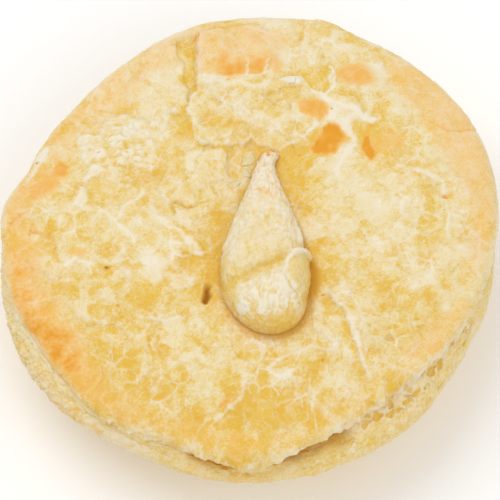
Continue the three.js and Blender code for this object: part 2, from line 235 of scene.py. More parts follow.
# Stage: the camera's height in degrees, its distance, target, width of view and sensor in millimetres,
# how far it sees and the floor's size in metres, and the sky
VIEW_HEIGHT = 63.5
VIEW_DISTANCE = 950.0
VIEW_TARGET = (1.14, -3.45, 28.0)
VIEW_WIDTH = 121.07
SENSOR = 36.0
VIEW_END = 10.0
FLOOR_SIZE = 6.0
SKY_STRENGTH = 0.74

# Lamps: name, place and size in metres, power in watts
LAMPS = (("key", (-0.45, 0.4, 1.1), 0.9, 4.7), ("fill", (0.6, -0.7, 0.9), 0.9, 2.8))


def length(name, description, millimetres):
    """Size property with its default given in millimetres."""
    return bpy.props.FloatProperty(
        name=name, description=description, default=millimetres * MM, min=0.0, unit="LENGTH", precision=4
    )


def colour(name, description, red, green, blue):
    """Colour property with a linear default."""
    return bpy.props.FloatVectorProperty(
        name=name, description=description, default=(red, green, blue),
        size=3, min=0.0, max=1.0, subtype="COLOR",
    )


class PieSizes(bpy.types.PropertyGroup):
    """Driving sizes of the pie"""

    case_radius: length("Case radius", "Rim of the case at its widest, before its bulges", 60)
    foot_radius: length("Foot radius", "Flat bottom of the case", 46.5)
    lid_radius: length("Lid radius", "Edge of the lid, before its bulges", 59.2)
    lid_low: length("Lid underside", "Height of the lid's underside above the table", 25.5)
    lid_edge_top: length("Lid edge height", "Top of the lid where its rounded edge starts", 30.6)
    lid_dome: length("Lid dome", "Rise of the lid from its edge to its middle", 3.6)
    drop_length: length("Teardrop length", "From the tip to the round end", 49.1)
    drop_half_width: length("Teardrop half width", "At the widest place of the round end", 10.6)
    drop_tall: length("Teardrop height", "Height of the round end above the lid", 8.6)


class PieColours(bpy.types.PropertyGroup):
    """Colours of the baked pastry, of its painted shade and of the floor"""

    cream: colour("Cream", "Plain baked pastry", 0.815, 0.69, 0.40)
    gold: colour("Butter gold", "Moist hollows under the flakes", 0.775, 0.53, 0.095)
    syrup: colour("Deep gold", "Deepest and moistest hollows", 0.765, 0.455, 0.05)
    pale: colour("Pale flake", "Dry torn edges and flour", 0.845, 0.775, 0.63)
    orange: colour("Browned", "Browned rim and spots", 0.875, 0.475, 0.115)
    deep: colour("Deep browned", "Strongest browning", 0.77, 0.335, 0.018)
    # Dark specks are the pastry's own colour; in the vent and under the teardrop's nib this colour is
    # painted shade
    specks_and_deep_shade: colour("Burnt", "Dark specks and the bottom of the vent", 0.2, 0.1, 0.012)
    amber: colour("Amber shade", "Deep cracks and the line round the teardrop", 0.64, 0.305, 0.022)
    floor: colour("Floor", "Plain floor", 0.97, 0.97, 0.97)


def smoothstep(value, low, high):
    """0 below low, 1 above high, and a smooth rise between them."""
    share = np.clip((value - low) / (high - low), 0, 1)
    return share * share * (3 - 2 * share)


def blend(first, second, share):
    """From first at share 0 to second at share 1."""
    return first + (second - first) * share


def hill(value, middle, spread):
    """1 at the middle, near 0 two spreads away."""
    return np.exp(-(((value - middle) / spread) ** 2))


def turned(angle, at):
    """Smallest turn in degrees from `at` degrees to an angle in radians."""
    away = angle - math.radians(at)
    return np.degrees(np.arctan2(np.sin(away), np.cos(away)))


def round_sum(angle, bumps):
    """Sum of bumps in angle: each has its angle, its spread and its height."""
    return sum(height * hill(turned(angle, at), 0, spread) for at, spread, height in bumps)


# Noise: gains, slopes at the corners of its grid, largest whole number, and how far cells turn
NOISE_GAIN = 1.6
LAYER_GAIN = 1.25
LEANS = np.array([
    (1, 1, 0), (-1, 1, 0), (1, -1, 0), (-1, -1, 0), (1, 0, 1), (-1, 0, 1), (1, 0, -1), (-1, 0, -1),
    (0, 1, 1), (0, -1, 1), (0, 1, -1), (0, -1, -1), (1, 1, 0), (-1, 1, 0), (0, -1, 1), (0, -1, -1),
])
WORD = 0xFFFFFFFF
CELL_TURNS = 44


def scrambled(corner, seed):
    """Even whole numbers for whole grid corners."""
    mixed = (corner @ np.array((374761393, 668265263, 1440662683)) + seed * 2246822519) & WORD
    mixed = ((mixed ^ (mixed >> 13)) * 1274126177) & WORD
    return mixed ^ (mixed >> 16)


def noise(points, size, seed):
    """Smooth noise from about -1 to 1 with lumps of about this size."""
    place = points / size
    corner = np.floor(place).astype(np.int64)
    inside = place - corner
    fade = inside ** 3 * (inside * (inside * 6 - 15) + 10)
    total = np.zeros(len(points))
    for step in np.ndindex(2, 2, 2):
        lean = LEANS[scrambled(corner + step, seed) % len(LEANS)]
        weight = np.prod(np.where(step, fade, 1 - fade), axis=1)
        total += weight * np.sum(lean * (inside - step), axis=1)
    return total * NOISE_GAIN


def layered(points, size, seed, layers=3):
    """Noise with finer layers of half the size and half the height added."""
    shares = [0.5 ** layer for layer in range(layers)]
    total = np.zeros(len(points))
    for layer, share in enumerate(shares):
        total += share * noise(points, size * share, seed + 17 * layer)
    return total / sum(shares) * LAYER_GAIN


def cells(points, size, seed):
    """Cells about this size seen from above.

    Gives the distance to the nearest edge, a number from 0 to 1 for each cell, and the place in it from
    -1 to 1 along a direction of its own.
    """
    place = points / size
    corner = np.floor(place).astype(np.int64) * (1, 1, 0)
    nearest = np.full(len(points), 9.0)
    second = np.full(len(points), 9.0)
    number = np.zeros(len(points))
    along = np.zeros(len(points))
    for step in np.ndindex(3, 3):
        home = corner + (step[0] - 1, step[1] - 1, 0)
        spin = scrambled(home, seed)
        from_x = place[:, 0] - home[:, 0] - (spin % 1000) / 1000
        from_y = place[:, 1] - home[:, 1] - (spin // 1000 % 1000) / 1000
        away = np.hypot(from_x, from_y)
        closer = away < nearest
        second = np.where(closer, nearest, np.minimum(second, away))
        own = (spin // 1000000 % 1000) / 1000
        turn = CELL_TURNS * own
        number = np.where(closer, own, number)
        along = np.where(closer, from_x * np.cos(turn) + from_y * np.sin(turn), along)
        nearest = np.where(closer, away, nearest)
    return (second - nearest) * size, number, along


def warped(points, seed, amounts=((5.0, 0.8), (1.6, 0.28), (0.7, 0.1))):
    """Points pushed about sideways, so that what is laid on them gets ragged edges."""
    moved = points.copy()
    for size, amount in amounts:
        moved[:, 0] += amount * noise(points, size, seed)
        moved[:, 1] += amount * noise(points, size, seed + 5)
        seed += 11
    return moved


# Places on a crust
def from_stretch(x, y, start, end):
    """Distance to the straight stretch between two places, and the share of it before the nearest one."""
    along = end - start
    share = ((x - start[0]) * along[0] + (y - start[1]) * along[1]) / (along @ along)
    share = np.clip(share, 0, 1)
    return np.hypot(x - start[0] - share * along[0], y - start[1] - share * along[1]), share


def patch_distance(x, y, corners):
    """Distance to a closed patch's edge, below 0 inside it."""
    inside = np.zeros(x.shape, bool)
    nearest = np.full(x.shape, np.inf)
    for start, end in zip(corners, np.roll(corners, -1, axis=0)):
        nearest = np.minimum(nearest, from_stretch(x, y, start, end)[0])
        along_x, along_y = end - start
        if along_y != 0:
            crosses = (start[1] > y) != (end[1] > y)
            inside ^= crosses & (x < start[0] + (y - start[1]) * along_x / along_y)
    return np.where(inside, -nearest, nearest)


def line_place(x, y, points):
    """Distance to a line, above 0 on its left, and the share of the line before the nearest place."""
    nearest = np.full(x.shape, np.inf)
    left = np.zeros(x.shape)
    passed = np.zeros(x.shape)
    count = len(points) - 1
    for step, (start, end) in enumerate(zip(points, points[1:])):
        away, share = from_stretch(x, y, start, end)
        along_x, along_y = end - start
        closer = away < nearest
        nearest = np.where(closer, away, nearest)
        left = np.where(closer, np.sign(along_x * (y - start[1]) - along_y * (x - start[0])), left)
        passed = np.where(closer, (step + share) / count, passed)
    return nearest * left, passed


def oval(x, y, long, wide, turn=0):
    """Corners of an oval patch."""
    lean = math.radians(turn)
    steps = np.linspace(0, 2 * math.pi, 14, endpoint=False)
    across, up = long * np.cos(steps), wide * np.sin(steps)
    return np.stack((
        x + across * math.cos(lean) - up * math.sin(lean),
        y + across * math.sin(lean) + up * math.cos(lean),
    ), axis=1)


class Feature:
    """A place on a crust: a plate, hole, crack, ridge, torn step or browned spot.

    It is a closed patch, or a line if it has half widths, or a step that fades away to the left of a
    line if it has a fade. A lip makes its edge pale, with a damp golden foot outside it, partly painted
    shade.
    """

    REACH = 4.0

    def __init__(self, points, wide=None, fade=None, rise=0.0, soft=0.35, lip=0.0, **tones):
        self.points = np.array(points, float)
        self.wide = wide
        self.fade = fade
        self.rise = rise
        self.soft = soft
        self.lip = lip
        self.tones = tones

    def near(self, x, y):
        """Numbers of the places that the feature may reach."""
        reach = self.REACH + 2 * (self.fade or 0)
        low = self.points.min(axis=0) - reach
        high = self.points.max(axis=0) + reach
        return np.flatnonzero((x > low[0]) & (x < high[0]) & (y > low[1]) & (y < high[1]))

    def distance(self, x, y):
        """Distance to the feature's edge, below 0 inside it, and how strong the feature is there."""
        if self.wide is None and self.fade is None:
            return patch_distance(x, y, self.points), 1.0
        left, passed = line_place(x, y, self.points)
        if self.fade is None:
            return np.abs(left) - blend(*self.wide, passed), 1.0
        ends = smoothstep(passed, 0.0, 0.15) * (1 - smoothstep(passed, 0.85, 1.0))
        return -left, ends * np.exp(-np.maximum(left, 0) / self.fade)


# Kinds of features with their usual values: pale line, browned line, damp line, damp hollow, raised
# patch and browned patch
ridge = partial(Feature, rise=0.25, soft=0.5, pale=0.75)
crack = partial(Feature, rise=-0.4, soft=0.35, brown=0.7)
trough = partial(Feature, rise=-0.4, soft=0.3, butter=0.9, pale=0)
pool = partial(Feature, rise=-0.4, soft=0.3, butter=0.85, pale=0)
plate = partial(Feature, rise=0.3, soft=0.5)
spot = partial(Feature, soft=1.4)


# Relief that the solids have too: plates first, then hollows
RELIEF = (
    plate(oval(-21.1, 43.4, 9, 7, 60), rise=0.6, soft=1.8),
    plate(oval(24.9, 33.4, 8, 6), rise=0.4, soft=1.5),
    plate(oval(-19.1, 34.4, 4, 3, 15), rise=0.4, soft=0.8),
    plate(oval(-28.6, 24.4, 8, 7, 90), rise=0.5, soft=1.5),
    plate(oval(-14.1, 14.4, 7, 3.8, 80), rise=0.5, soft=1.2),
    plate(oval(-7.6, 16.9, 5, 3.4, 80), rise=0.4, soft=1.2),
    plate(oval(38.4, 3.4, 12, 10.5, 90), rise=0.5, soft=2.5),
    plate(oval(6.9, -44.6, 13, 7, 5), rise=0.4, soft=2),
    plate(oval(-21.1, -41.6, 12, 7.5, -18), rise=0.4, soft=2),
    plate(oval(-43.1, -8.6, 11, 8, 80), rise=0.4, soft=2),
    pool(oval(-7.1, 28.9, 3.8, 2.8), rise=-0.7, soft=0.9),
    pool(oval(-34.1, -27.6, 5.4, 2.2, -15), rise=-0.6, soft=0.6, butter=0.9),
)

# Torn layers at the back of the lid
BACK_LAYERS = (
    # pale layer bared where the skin tore off, with its ragged left and front edges
    Feature([(-11.6, 41.4), (-13.1, 40.1), (-12.1, 37.6), (-14.3, 34.8), (-14.3, 32.4), (-12.8, 28.7),
             (-13.1, 24.4), (-11.3, 22.8), (-7.4, 22.3), (-0.3, 21.7), (1.1, 23.6), (2.6, 21.8),
             (8.9, 21), (13.9, 23.4), (17.4, 27.4), (18.4, 35.4), (13.9, 41.9), (4.9, 43.6), (-5.1, 42)],
            rise=0.4, soft=0.25, lip=0.45, pale=0.12, butter=0.42),
    # browned skin left standing behind it
    Feature([(-11.5, 42), (-8.1, 41.7), (-5.1, 41.4), (-1.6, 42.5), (1.6, 43.2), (5.1, 43.5), (5.6, 46),
             (8.6, 48.8), (13.5, 54.5), (0.9, 57.4), (-11.5, 54.4), (-11.9, 50.2)],
            rise=0.7, soft=0.2, lip=0.8, brown=0.36),
    spot([(-6.4, 41.9), (-1.6, 43), (4.6, 43.7), (7.4, 46.6), (4, 48.8), (-1.4, 48.4), (-4.6, 52),
          (-6.8, 48)],
         soft=1.8, brown=0.52),
    spot(oval(1.6, 53.6, 3.4, 1.4, -25), brown=0.5),
    ridge([(-11.6, 42.2), (-9.7, 42), (-7.7, 41.4), (-5.3, 41.1), (-2.8, 41.7), (0.4, 42), (3.4, 42.5),
           (5.8, 43.1)],
          wide=(0.25, 0.35), rise=0.3, soft=0.3, pale=1, butter=0, brown=0),
    ridge([(-11.1, 40.5), (-7.5, 40.3), (-4.5, 39.4), (-1.6, 40), (1.4, 38.9), (4.3, 39.4), (6.3, 41.1)],
          wide=(0.5, 0.7), rise=0.15, soft=0.9, butter=0.05),
    spot([(-5.8, 46.2), (-3.8, 46.7), (-1.8, 45.9), (-0.6, 43.9), (-1.1, 41.7), (-3.5, 41.4),
          (-5.5, 41.7)],
         brown=0.88),
    spot([(-0.1, 45.6), (1.9, 46.5), (4.3, 46.2), (5.3, 44.5), (4.3, 42.8), (0.6, 42.2)], brown=0.8),
    spot(oval(7.2, 45.6, 1.9, 2), soft=1.3, brown=0.6),
    spot([(-3.4, 46), (-3, 50), (0.6, 54)], wide=(1, 0.4), brown=0.42),
    spot([(3.4, 47.4), (3, 51.6)], wide=(0.6, 0.3), soft=1.2, brown=0.36),
    ridge([(0, 42.4), (0.5, 47.4)], wide=(0.25, 0.15), rise=0.2, soft=0.25, pale=0.85, brown=0.1),
    ridge([(5.3, 43.4), (5.3, 46.4)], wide=(0.25, 0.15), rise=0.2, soft=0.25, pale=0.85, brown=0.1),
    # jagged hole, and the white flake that stands over it
    pool([(3.8, 36.5), (5.3, 37.3), (6.8, 38.3), (7.8, 37.6), (9.3, 39.3), (11.9, 38.7), (13.2, 39),
          (13.2, 35.3), (11.7, 35.3), (10.7, 32), (10, 35.3), (8, 35.1), (6.3, 33.4), (5.3, 35.3)],
         rise=-0.7, soft=0.2, butter=0.8, shade=0.06),
    plate([(8.9, 41.8), (10.2, 42.3), (12.5, 41.5), (13.7, 40.4), (12.4, 39.3), (10, 39.5)],
          rise=0.5, soft=0.25, pale=1, butter=0, brown=0),
    # notches in the layer's front edge
    pool([(-11.5, 22.3), (-6.9, 22), (-7.1, 21.2), (-9.1, 21.2), (-10.3, 19.8), (-10.8, 21.5)],
         soft=0.25, butter=0.9),
    pool([(-0.3, 21.7), (1.1, 23.7), (2.6, 22.3), (2.6, 20.6), (0.2, 20.6)], butter=0.9),
    # long golden trough beside the skin, and the crack of the flap behind it
    trough([(-14.7, 52.4), (-14.5, 47.9), (-13.9, 42.4), (-13.1, 38.6), (-14.3, 35)],
           wide=(2.2, 0.35), rise=-1, butter=0.85, brown=0.05),
    crack([(-18.6, 50.6), (-15.1, 51.4), (-11.9, 54)], wide=(0.3, 0.3), soft=0.3),
)

# Browned spots and pale breaks right of the middle
RIGHT_SPOTS = (
    # browned skin along the rim, and the cracks across it
    plate([(36, 47), (46, 44), (53, 38), (58, 30), (61, 20), (62, 8), (61, 0), (58.5, 0), (56.6, 7),
           (54, 13), (50.6, 17), (47.6, 21), (45.4, 25.5), (42.3, 30), (39.4, 35), (36.5, 40)],
          soft=1.2, brown=0.37, butter=0.35, pale=0.12),
    ridge([(39.5, 38.6), (46, 37.4), (53, 35)], wide=(0.25, 0.15), rise=0.2, soft=0.3, pale=0.7),
    crack([(45.5, 29.4), (50, 28), (57, 28.6)], wide=(0.25, 0.15), rise=-0.3, brown=0.66),
    Feature([(17.6, 35.9), (23.9, 37), (31.5, 33.4), (29.9, 29.9), (24.9, 28.7), (23.5, 23.4),
             (25.4, 18.9), (23.4, 17.9), (20.9, 25.4), (17.9, 28.4)],
            soft=1.2, pale=0.34, butter=0.4),
    plate([(12.9, 34.1), (14.4, 34.9), (16.6, 35.2), (19, 34.9), (20.5, 33.3), (20.2, 31), (18.7, 29.4),
           (16.1, 29.7), (13.6, 30.8), (12.6, 32.2)],
          soft=1, rise=0.1, brown=0.72, pale=0),
    pool([(17.7, 25.4), (18.5, 27.5), (20.4, 28.8), (22.9, 28.2), (24.8, 26.6), (24.5, 24.1),
          (23.1, 22), (22, 19.8), (19.8, 19.5), (17.3, 20.4), (15.7, 22.3)],
         soft=0.9, rise=-0.3, brown=0.95, butter=1.2),
    spot([(18.5, 27.2), (20.5, 28.2), (23.2, 27.5), (24.3, 25.5), (23.1, 23.5), (20.8, 22.8),
          (19, 23.8)],
         soft=0.5, rise=-0.2, brown=1.07, pale=0),
    spot([(14.9, 22.6), (17.6, 24), (20.1, 22.5), (20.8, 20.2), (18.1, 19.4), (15.8, 20.4)],
         soft=0.8, brown=1.05, pale=0, butter=1.2),
    spot(oval(31.2, 21.4, 3.6, 4.6), soft=1.8, brown=0.4),
    spot([(29.1, 25.6), (30.4, 26.5), (31.2, 24), (32, 21.6), (32, 19.1), (30.6, 17.6), (29.3, 20),
          (28.7, 22.8)],
         soft=0.5, rise=-0.35, brown=1.1, pale=0),
    spot(oval(36, 23.6, 3.4, 2.4, 10), soft=1.6, brown=0.5),
    # veins of white pastry between the spots
    ridge([(18.1, 36.6), (20.5, 35.2), (22.9, 34.1), (25.9, 33), (28.8, 31.6), (31.2, 29.7)],
          wide=(0.6, 0.9), pale=0.95, butter=0, brown=0),
    ridge([(23.4, 34.1), (21.7, 31.9), (21.2, 29.7), (23.4, 28.5), (25.8, 29.7), (27.8, 31.3)],
          wide=(0.9, 0.8), rise=0.2, soft=0.7, pale=0.85, butter=0, brown=0),
    ridge([(24.6, 28.5), (26, 26), (26.2, 23.3), (25, 20.5), (23.5, 18.3), (22.8, 16.1)],
          wide=(0.9, 0.5), rise=0.2, soft=0.6, pale=0.85, butter=0, brown=0),
    ridge([(21.1, 45.6), (22, 42.2), (21.8, 38.9), (19, 36.3)],
          wide=(0.25, 0.5), rise=0.2, soft=0.4, pale=0.9, butter=0, brown=0),
    spot(oval(26.9, 42.4, 5.2, 3.4, -20), soft=1.9, brown=0.66),
    spot(oval(35.9, 24.8, 3.6, 3), brown=0.4),
    trough([(23.5, 37.6), (28.1, 36.2), (29.5, 32.3)], wide=(0.7, 0.5), rise=-0.6, soft=0.4, butter=1),
    ridge([(21.1, 46), (20.8, 39.8)], wide=(0.25, 0.35), rise=0.2, soft=0.25, pale=0.9, brown=0),
    Feature([(41.7, 15.1), (47.5, 12.9)], wide=(0.9, 0.7), rise=-0.2, soft=0.4, pale=0.75, butter=0.3),
    ridge([(48.2, 12.1), (49.3, 5.6), (49.6, -1.8)], wide=(0.4, 0.3), soft=0.4, pale=0.8),
    spot(oval(49.1, 8, 0.6, 0.5), rise=-0.6, soft=0.25, brown=0.9, shade=0.2),
)

# Blisters, plates and pools on the left
LEFT_PLATES = (
    plate([(-29.4, 30.4), (-25, 30.6), (-22.8, 27.4), (-24.6, 24.2), (-28.6, 23.4), (-30.6, 27)],
          pale=0.72, butter=0.08),
    Feature([(-41.1, 23.6), (-39.4, 26.1), (-34.5, 25.6), (-34.4, 21.2), (-35.4, 17.9), (-38.8, 18.1)],
            rise=0.5, soft=0.4, lip=0.5, pale=0.4, butter=0.15, brown=0),
    plate([(-39.2, 13.5), (-37.3, 17), (-35.4, 17.6), (-34.1, 16.2), (-35.8, 13.5), (-38.2, 12.4)],
          soft=0.4, pale=0.65, butter=0.1),
    pool([(-38.7, 12.4), (-35.3, 12.9), (-32.3, 11.3), (-29.4, 8.5), (-30.8, 5.8), (-35.1, 4.7),
          (-38.1, 6.1)],
         rise=-0.6, soft=1.2, butter=0.9),
    ridge([(-19.9, 31.7), (-17.2, 32.5)], wide=(0.3, 0.3), rise=0.3, soft=0.25, pale=0.9),
    pool(oval(-16.7, 29.4, 2.1, 1.8), rise=-0.5, soft=0.6),
    pool([(-11.1, 31), (-8.9, 31.6), (-6, 30.2), (-3, 27.7), (-4, 26.6), (-7.9, 27.7), (-10.3, 28.8)],
         rise=-0.3, soft=1, butter=1.2),
    Feature([(-28, -3.4), (-26.8, -2.9), (-25.6, -5.3), (-25.3, -9.9), (-25.9, -14.7), (-27.1, -13.6),
             (-27.7, -8.8)],
            rise=-0.2, soft=1, butter=0.85, pale=0.1),
    plate([(-23.8, -8.3), (-21.2, -7.2), (-19.5, -9.9), (-19.9, -14.7), (-22.5, -16.8), (-24, -13.1)],
          rise=0.15, soft=1, butter=0.1, pale=0.7),
    spot([(-43.6, -5.9), (-41.4, -4.8), (-39.5, -5.9), (-37.5, -7.2), (-38.5, -8.3), (-41.9, -7.7)],
         soft=0.9, brown=0.55),
    # cracks and folds of the left rim, and the frilled edge beside it
    crack([(-57.5, 3.3), (-55.8, 4.1), (-54.1, 5.2)], wide=(0.3, 0.15), brown=0.8),
    crack([(-51.1, 2.8), (-51.3, 0.9), (-52, -0.5)], wide=(0.15, 0.25), brown=0.85),
    crack([(-51, 0.1), (-49.1, -1.5), (-46.8, -3.1), (-45.8, -5.8), (-45.3, -9.1)], wide=(0.3, 0.1)),
    Feature([(-54.4, 12.6), (-51.6, 17.6), (-48.8, 23)],
            wide=(0.15, 0.9), rise=-0.3, soft=0.45, pale=0.8, butter=0.1, brown=0),
    ridge([(-53.3, 4.7), (-50.4, 4.7), (-47.5, 5), (-45.1, 6.1)], wide=(0.3, 0.3), rise=0.3, pale=0.6),
    spot([(-52, 10.7), (-49.2, 14), (-46.1, 17.3), (-43, 17.8), (-43.4, 15.1), (-46.2, 12.3),
          (-48.6, 9.1), (-51, 8.5)],
         soft=1.6, brown=0.6),
    ridge([(-40.9, 26.7), (-40.1, 23.9), (-39.3, 21.2), (-39.3, 18.4)],
          wide=(0.4, 0.3), rise=0.3, soft=0.4, brown=0),
    plate([(-39.9, 11.8), (-37.9, 10.2), (-37.9, 7.5), (-39.8, 5.6), (-41.7, 6.4)],
          soft=0.6, rise=0.25, pale=0.65, butter=0.1),
    # pale folds left of the middle
    ridge([(-35.4, 5.2), (-33.4, 3.3), (-30.5, 1.1), (-28.5, -1.3), (-27.3, -4)],
          wide=(0.3, 0.6), rise=0.3, soft=0.6, pale=0.8, butter=0.05),
    ridge([(-24.8, 9.6), (-26.9, 6.6), (-29.5, 3.9), (-31.9, 2.2)],
          wide=(0.5, 0.3), soft=0.7, butter=0.1),
    ridge([(-22.8, 6.8), (-20.8, 3), (-17.9, -0.8), (-14, -3.4), (-10.6, -6.7)],
          wide=(0.4, 0.7), soft=0.8, pale=0.7, butter=0.1),
    ridge([(-43.7, -9.9), (-40.9, -8.8), (-38, -9.4), (-35.8, -9.9)], wide=(0.3, 0.4), butter=0.1),
    ridge([(-29.6, -24.3), (-26.3, -23.7), (-22.5, -24.8), (-18.6, -24.3), (-14.8, -24.8)],
          wide=(0.3, 0.3), butter=0.1),
    spot(oval(-45.3, 16.7, 1.7, 2.2, 20), soft=0.6, brown=0.85),
    spot(oval(-48.5, 10.6, 3.2, 2, 20), brown=0.64),
    crack([(-51.4, 2.5), (-51.4, 0.9), (-47.7, -2.1)], wide=(0.2, 0.2), rise=-0.3, soft=0.3),
    # smooth plate beside the teardrop's tip, the hollow on its right, its frill and its cracks
    plate([(-17.7, 8), (-14.4, 12.9), (-11.7, 17.9), (-9.8, 20.4), (-7.9, 21.2), (-5.7, 20.6),
           (-4.7, 19.5), (-4.9, 17.3), (-4.4, 15.7), (-4.7, 13.8), (-4, 12.7), (-7.3, 11.8), (-11, 9.7),
           (-13.4, 5.9), (-15.3, 6.7)],
          soft=0.3, pale=0.28, butter=0.42),
    pool([(-4.7, 20.1), (-1.8, 22.6), (-0.6, 20.6), (-1, 14.6), (-3.7, 12.9), (-4.6, 14.6)],
         rise=-0.35, butter=0.8, brown=0.14),
    pool([(-0.8, 21.7), (0.9, 23.1), (2.6, 22), (6.5, 21.7), (4.1, 20.1), (2.6, 18.4), (2.4, 20.6)],
         rise=-0.3, soft=0.5, brown=0.2),
    plate([(-14.9, 16.5), (-14.2, 19.3), (-11.3, 20.9), (-10.5, 19.8), (-12, 17.9), (-13.9, 14.6)],
          rise=0.2, pale=0.55, butter=0.15),
    trough([(-17.2, 3.7), (-17.7, 5.6), (-17.2, 7.2), (-15.8, 6.9), (-13.4, 5.9), (-12.6, 6.4)],
           wide=(0.15, 0.35), rise=-0.5, butter=1, shade=0.3),
    trough([(-12.4, 8.8), (-11.9, 7.5), (-10.7, 6.7), (-8.3, 7.5)],
           wide=(0.1, 0.1), rise=-0.3, soft=0.25, butter=1, shade=0.2),
    trough([(-9.5, 10.8), (-7.6, 11.8), (-5.7, 12.7)], wide=(0.1, 0.15), rise=-0.25),
)

# Wedges, star of ridges and cracks in the front half
FRONT_LINES = (
    trough([(-39.4, -24.5), (-34.1, -29.2), (-29.5, -31.6)], wide=(1.9, 0.7), soft=0.7),
    trough([(-28.9, -23.9), (-22.7, -25.5)], wide=(1.4, 0.3), rise=-0.35, soft=0.4),
    ridge([(-21, -25.2), (-29.6, -32.6)], wide=(0.3, 0.1), soft=0.7, pale=0.5),
    ridge([(-21, -25.2), (-18.6, -20.1)], wide=(0.4, 0.3), soft=0.8, pale=0.6),
    ridge([(-21, -25.2), (-14.6, -24.6)], wide=(0.3, 0.1), rise=0.2, soft=0.6, pale=0.5),
    ridge([(-21, -25.2), (-26.1, -21.1)], wide=(0.4, 0.2), rise=0.2, soft=0.7, pale=0.5),
    trough([(-20.6, -26.3), (-19.5, -37.3)], wide=(0.25, 0.45), butter=1),
    crack([(-35.9, -38), (-38.2, -41.9)], wide=(0.2, 0.25), rise=-0.3, soft=0.3),
    crack([(-33.6, -36.9), (-35.1, -41.4)], wide=(0.2, 0.25), rise=-0.3, soft=0.3),
    spot(oval(-5, -46, 1.5, 0.9, 20), soft=0.5, rise=-0.2, brown=0.85),
    spot(oval(-2.4, -54.5, 1, 2), soft=0.8, brown=0.6),
    # ragged step down to the left, right of the teardrop
    Feature([(18.6, -14.8), (21, -19.2), (22.9, -22.6), (24.7, -26.1), (25.9, -30.3), (26.8, -33.9),
             (29.1, -38.9), (31.4, -43.6), (31.6, -46.4)],
            fade=9, rise=0.6, soft=0.25, lip=0.75),
    pool(oval(34.7, -28.4, 1.3, 0.8), rise=-0.6, soft=0.25, butter=1),
    spot(oval(45.7, -30.1, 2.6, 1.5, 40), soft=1.2, brown=0.5),
    spot(oval(51.6, -22.1, 2.2, 4, -15), soft=1.5, brown=0.34),
    ridge([(6.1, -37.3), (9.5, -33.9), (16.4, -31.8), (20.2, -32.6)],
          wide=(0.5, 0.3), rise=0.3, pale=0.7),
    ridge([(15.6, -39.5), (15.8, -47.5), (17.4, -52.7)],
          wide=(0.2, 0.3), rise=0.2, soft=0.35, pale=0.7),
    ridge([(0.4, -39.4), (-1.5, -44.5), (-4.9, -48.6), (-8.5, -50), (-10.2, -52.7), (-12.9, -55.4)],
          wide=(0.5, 0.1), pale=0.55),
    ridge([(-0.8, -47.3), (1.6, -51.3), (4, -54.8), (8.4, -55.4)],
          wide=(0.15, 0.1), rise=0.2, soft=0.4, pale=0.55),
)

LID_FEATURES = RELIEF + BACK_LAYERS + RIGHT_SPOTS + LEFT_PLATES + FRONT_LINES

# Vent beside the teardrop, let into its flat seat, with painted shade deep in it
VENT = pool(oval(-9.1, -17.8, 2.2, 0.8, 80), rise=-2.4, soft=0.7, butter=1, shade=1.3)

# Folds, flour and creases of the teardrop
DROP_FEATURES = (
    # fold between the upper and the lower lobe: the upper one overhangs a golden hollow, partly painted
    # shade under the overhang
    Feature([(-5.5, -17.5), (-2.7, -16.4), (3, -14.5), (8.3, -11.4), (10, -9.2), (11.5, -7.5)],
            fade=5, rise=0.5, soft=1, pale=0.3),
    trough([(-3.7, -17.4), (3, -14.8), (8.8, -11.8)], wide=(0.9, 1.4), rise=-0.5, soft=1.8, butter=1.1),
    # rolled flap on the right: its body, its white lip and the fold below it
    plate([(10.4, -12.6), (12.6, -9.8), (15.4, -9.2), (15.8, -14), (15.2, -18), (12.6, -19.6),
           (10.6, -17)],
          rise=0.35, butter=0.55, pale=0.05),
    ridge([(15.8, -9), (13.6, -8.7), (11.8, -10)],
          wide=(0.3, 0.8), rise=0.9, soft=0.4, pale=0.95, butter=0),
    ridge([(11.8, -10), (10.2, -12.6), (9.5, -15.8)], wide=(0.9, 0.25), rise=0.7, pale=0.9, butter=0),
    trough([(9.5, -16.9), (10.9, -19.3), (12.8, -20.9), (13.2, -22.5)],
           wide=(0.2, 0.15), rise=-0.55, soft=0.4, butter=0.95),
    ridge([(8.9, -16.6), (9.9, -19.4), (12, -21.3)],
          wide=(0.15, 0.15), rise=0.2, soft=0.3, pale=0.85, butter=0.1),
    # flour and dry flecks
    plate(oval(-0.5, -23.9, 1.4, 1.2, 20), rise=0.2, soft=0.25, pale=1, butter=0),
    plate(oval(4.2, -24.3, 0.8, 2, -12), rise=0.12, soft=0.4, pale=0.85, butter=0),
    plate(oval(-4.4, -5.9, 0.6, 1.2, -35), soft=0.25, pale=0.95, butter=0),
    plate(oval(-2.4, -0.4, 0.5, 1.1, -20), rise=0.2, soft=0.25, pale=0.8, butter=0),
    ridge([(12.6, -2.4), (13.7, -6.4)], wide=(0.5, 0.3), rise=0.3, soft=0.3, pale=0.95, butter=0),
    # creases of the upper lobe
    Feature([(2.1, -2.9), (1.8, -7.9), (2.8, -10.9)],
            wide=(0.15, 0.1), rise=-0.15, soft=0.35, butter=0.6),
    ridge([(2.6, -5.4), (4.4, -8.1), (6.7, -6.4)], wide=(0.5, 0.2), rise=0.15, pale=0.7),
)

# Dark specks on the lid: place and radius
SPECKS = (
    (-45.6, -5.1, 0.25), (-30.4, -21.1, 0.3), (-35.6, 20.4, 0.25), (8.5, 38.4, 0.2), (21.2, 32.4, 0.25),
    (14.4, 25.9, 0.2), (13.3, 19.7, 0.2), (18.4, -35.1, 0.3), (19.2, -14.2, 0.2), (41.4, -25.6, 0.25),
    (37.4, -27.6, 0.2), (-33.3, -11.4, 0.75), (47.2, -11.1, 0.2), (-51.1, 19.6, 0.4),
    (18.6, -18.1, 0.35),
)

# Loose flakes: rings from the middle out, corners and points of their outlines, thickness and lift
FLAKE_SEED = 7
FLAKE_RINGS = (0.5, 0.85, 1.0)
FLAKE_CORNERS = 5
FLAKE_SIDES = 24
FLAKE_THICK = 0.16
FLAKE_LIFT = 0.16

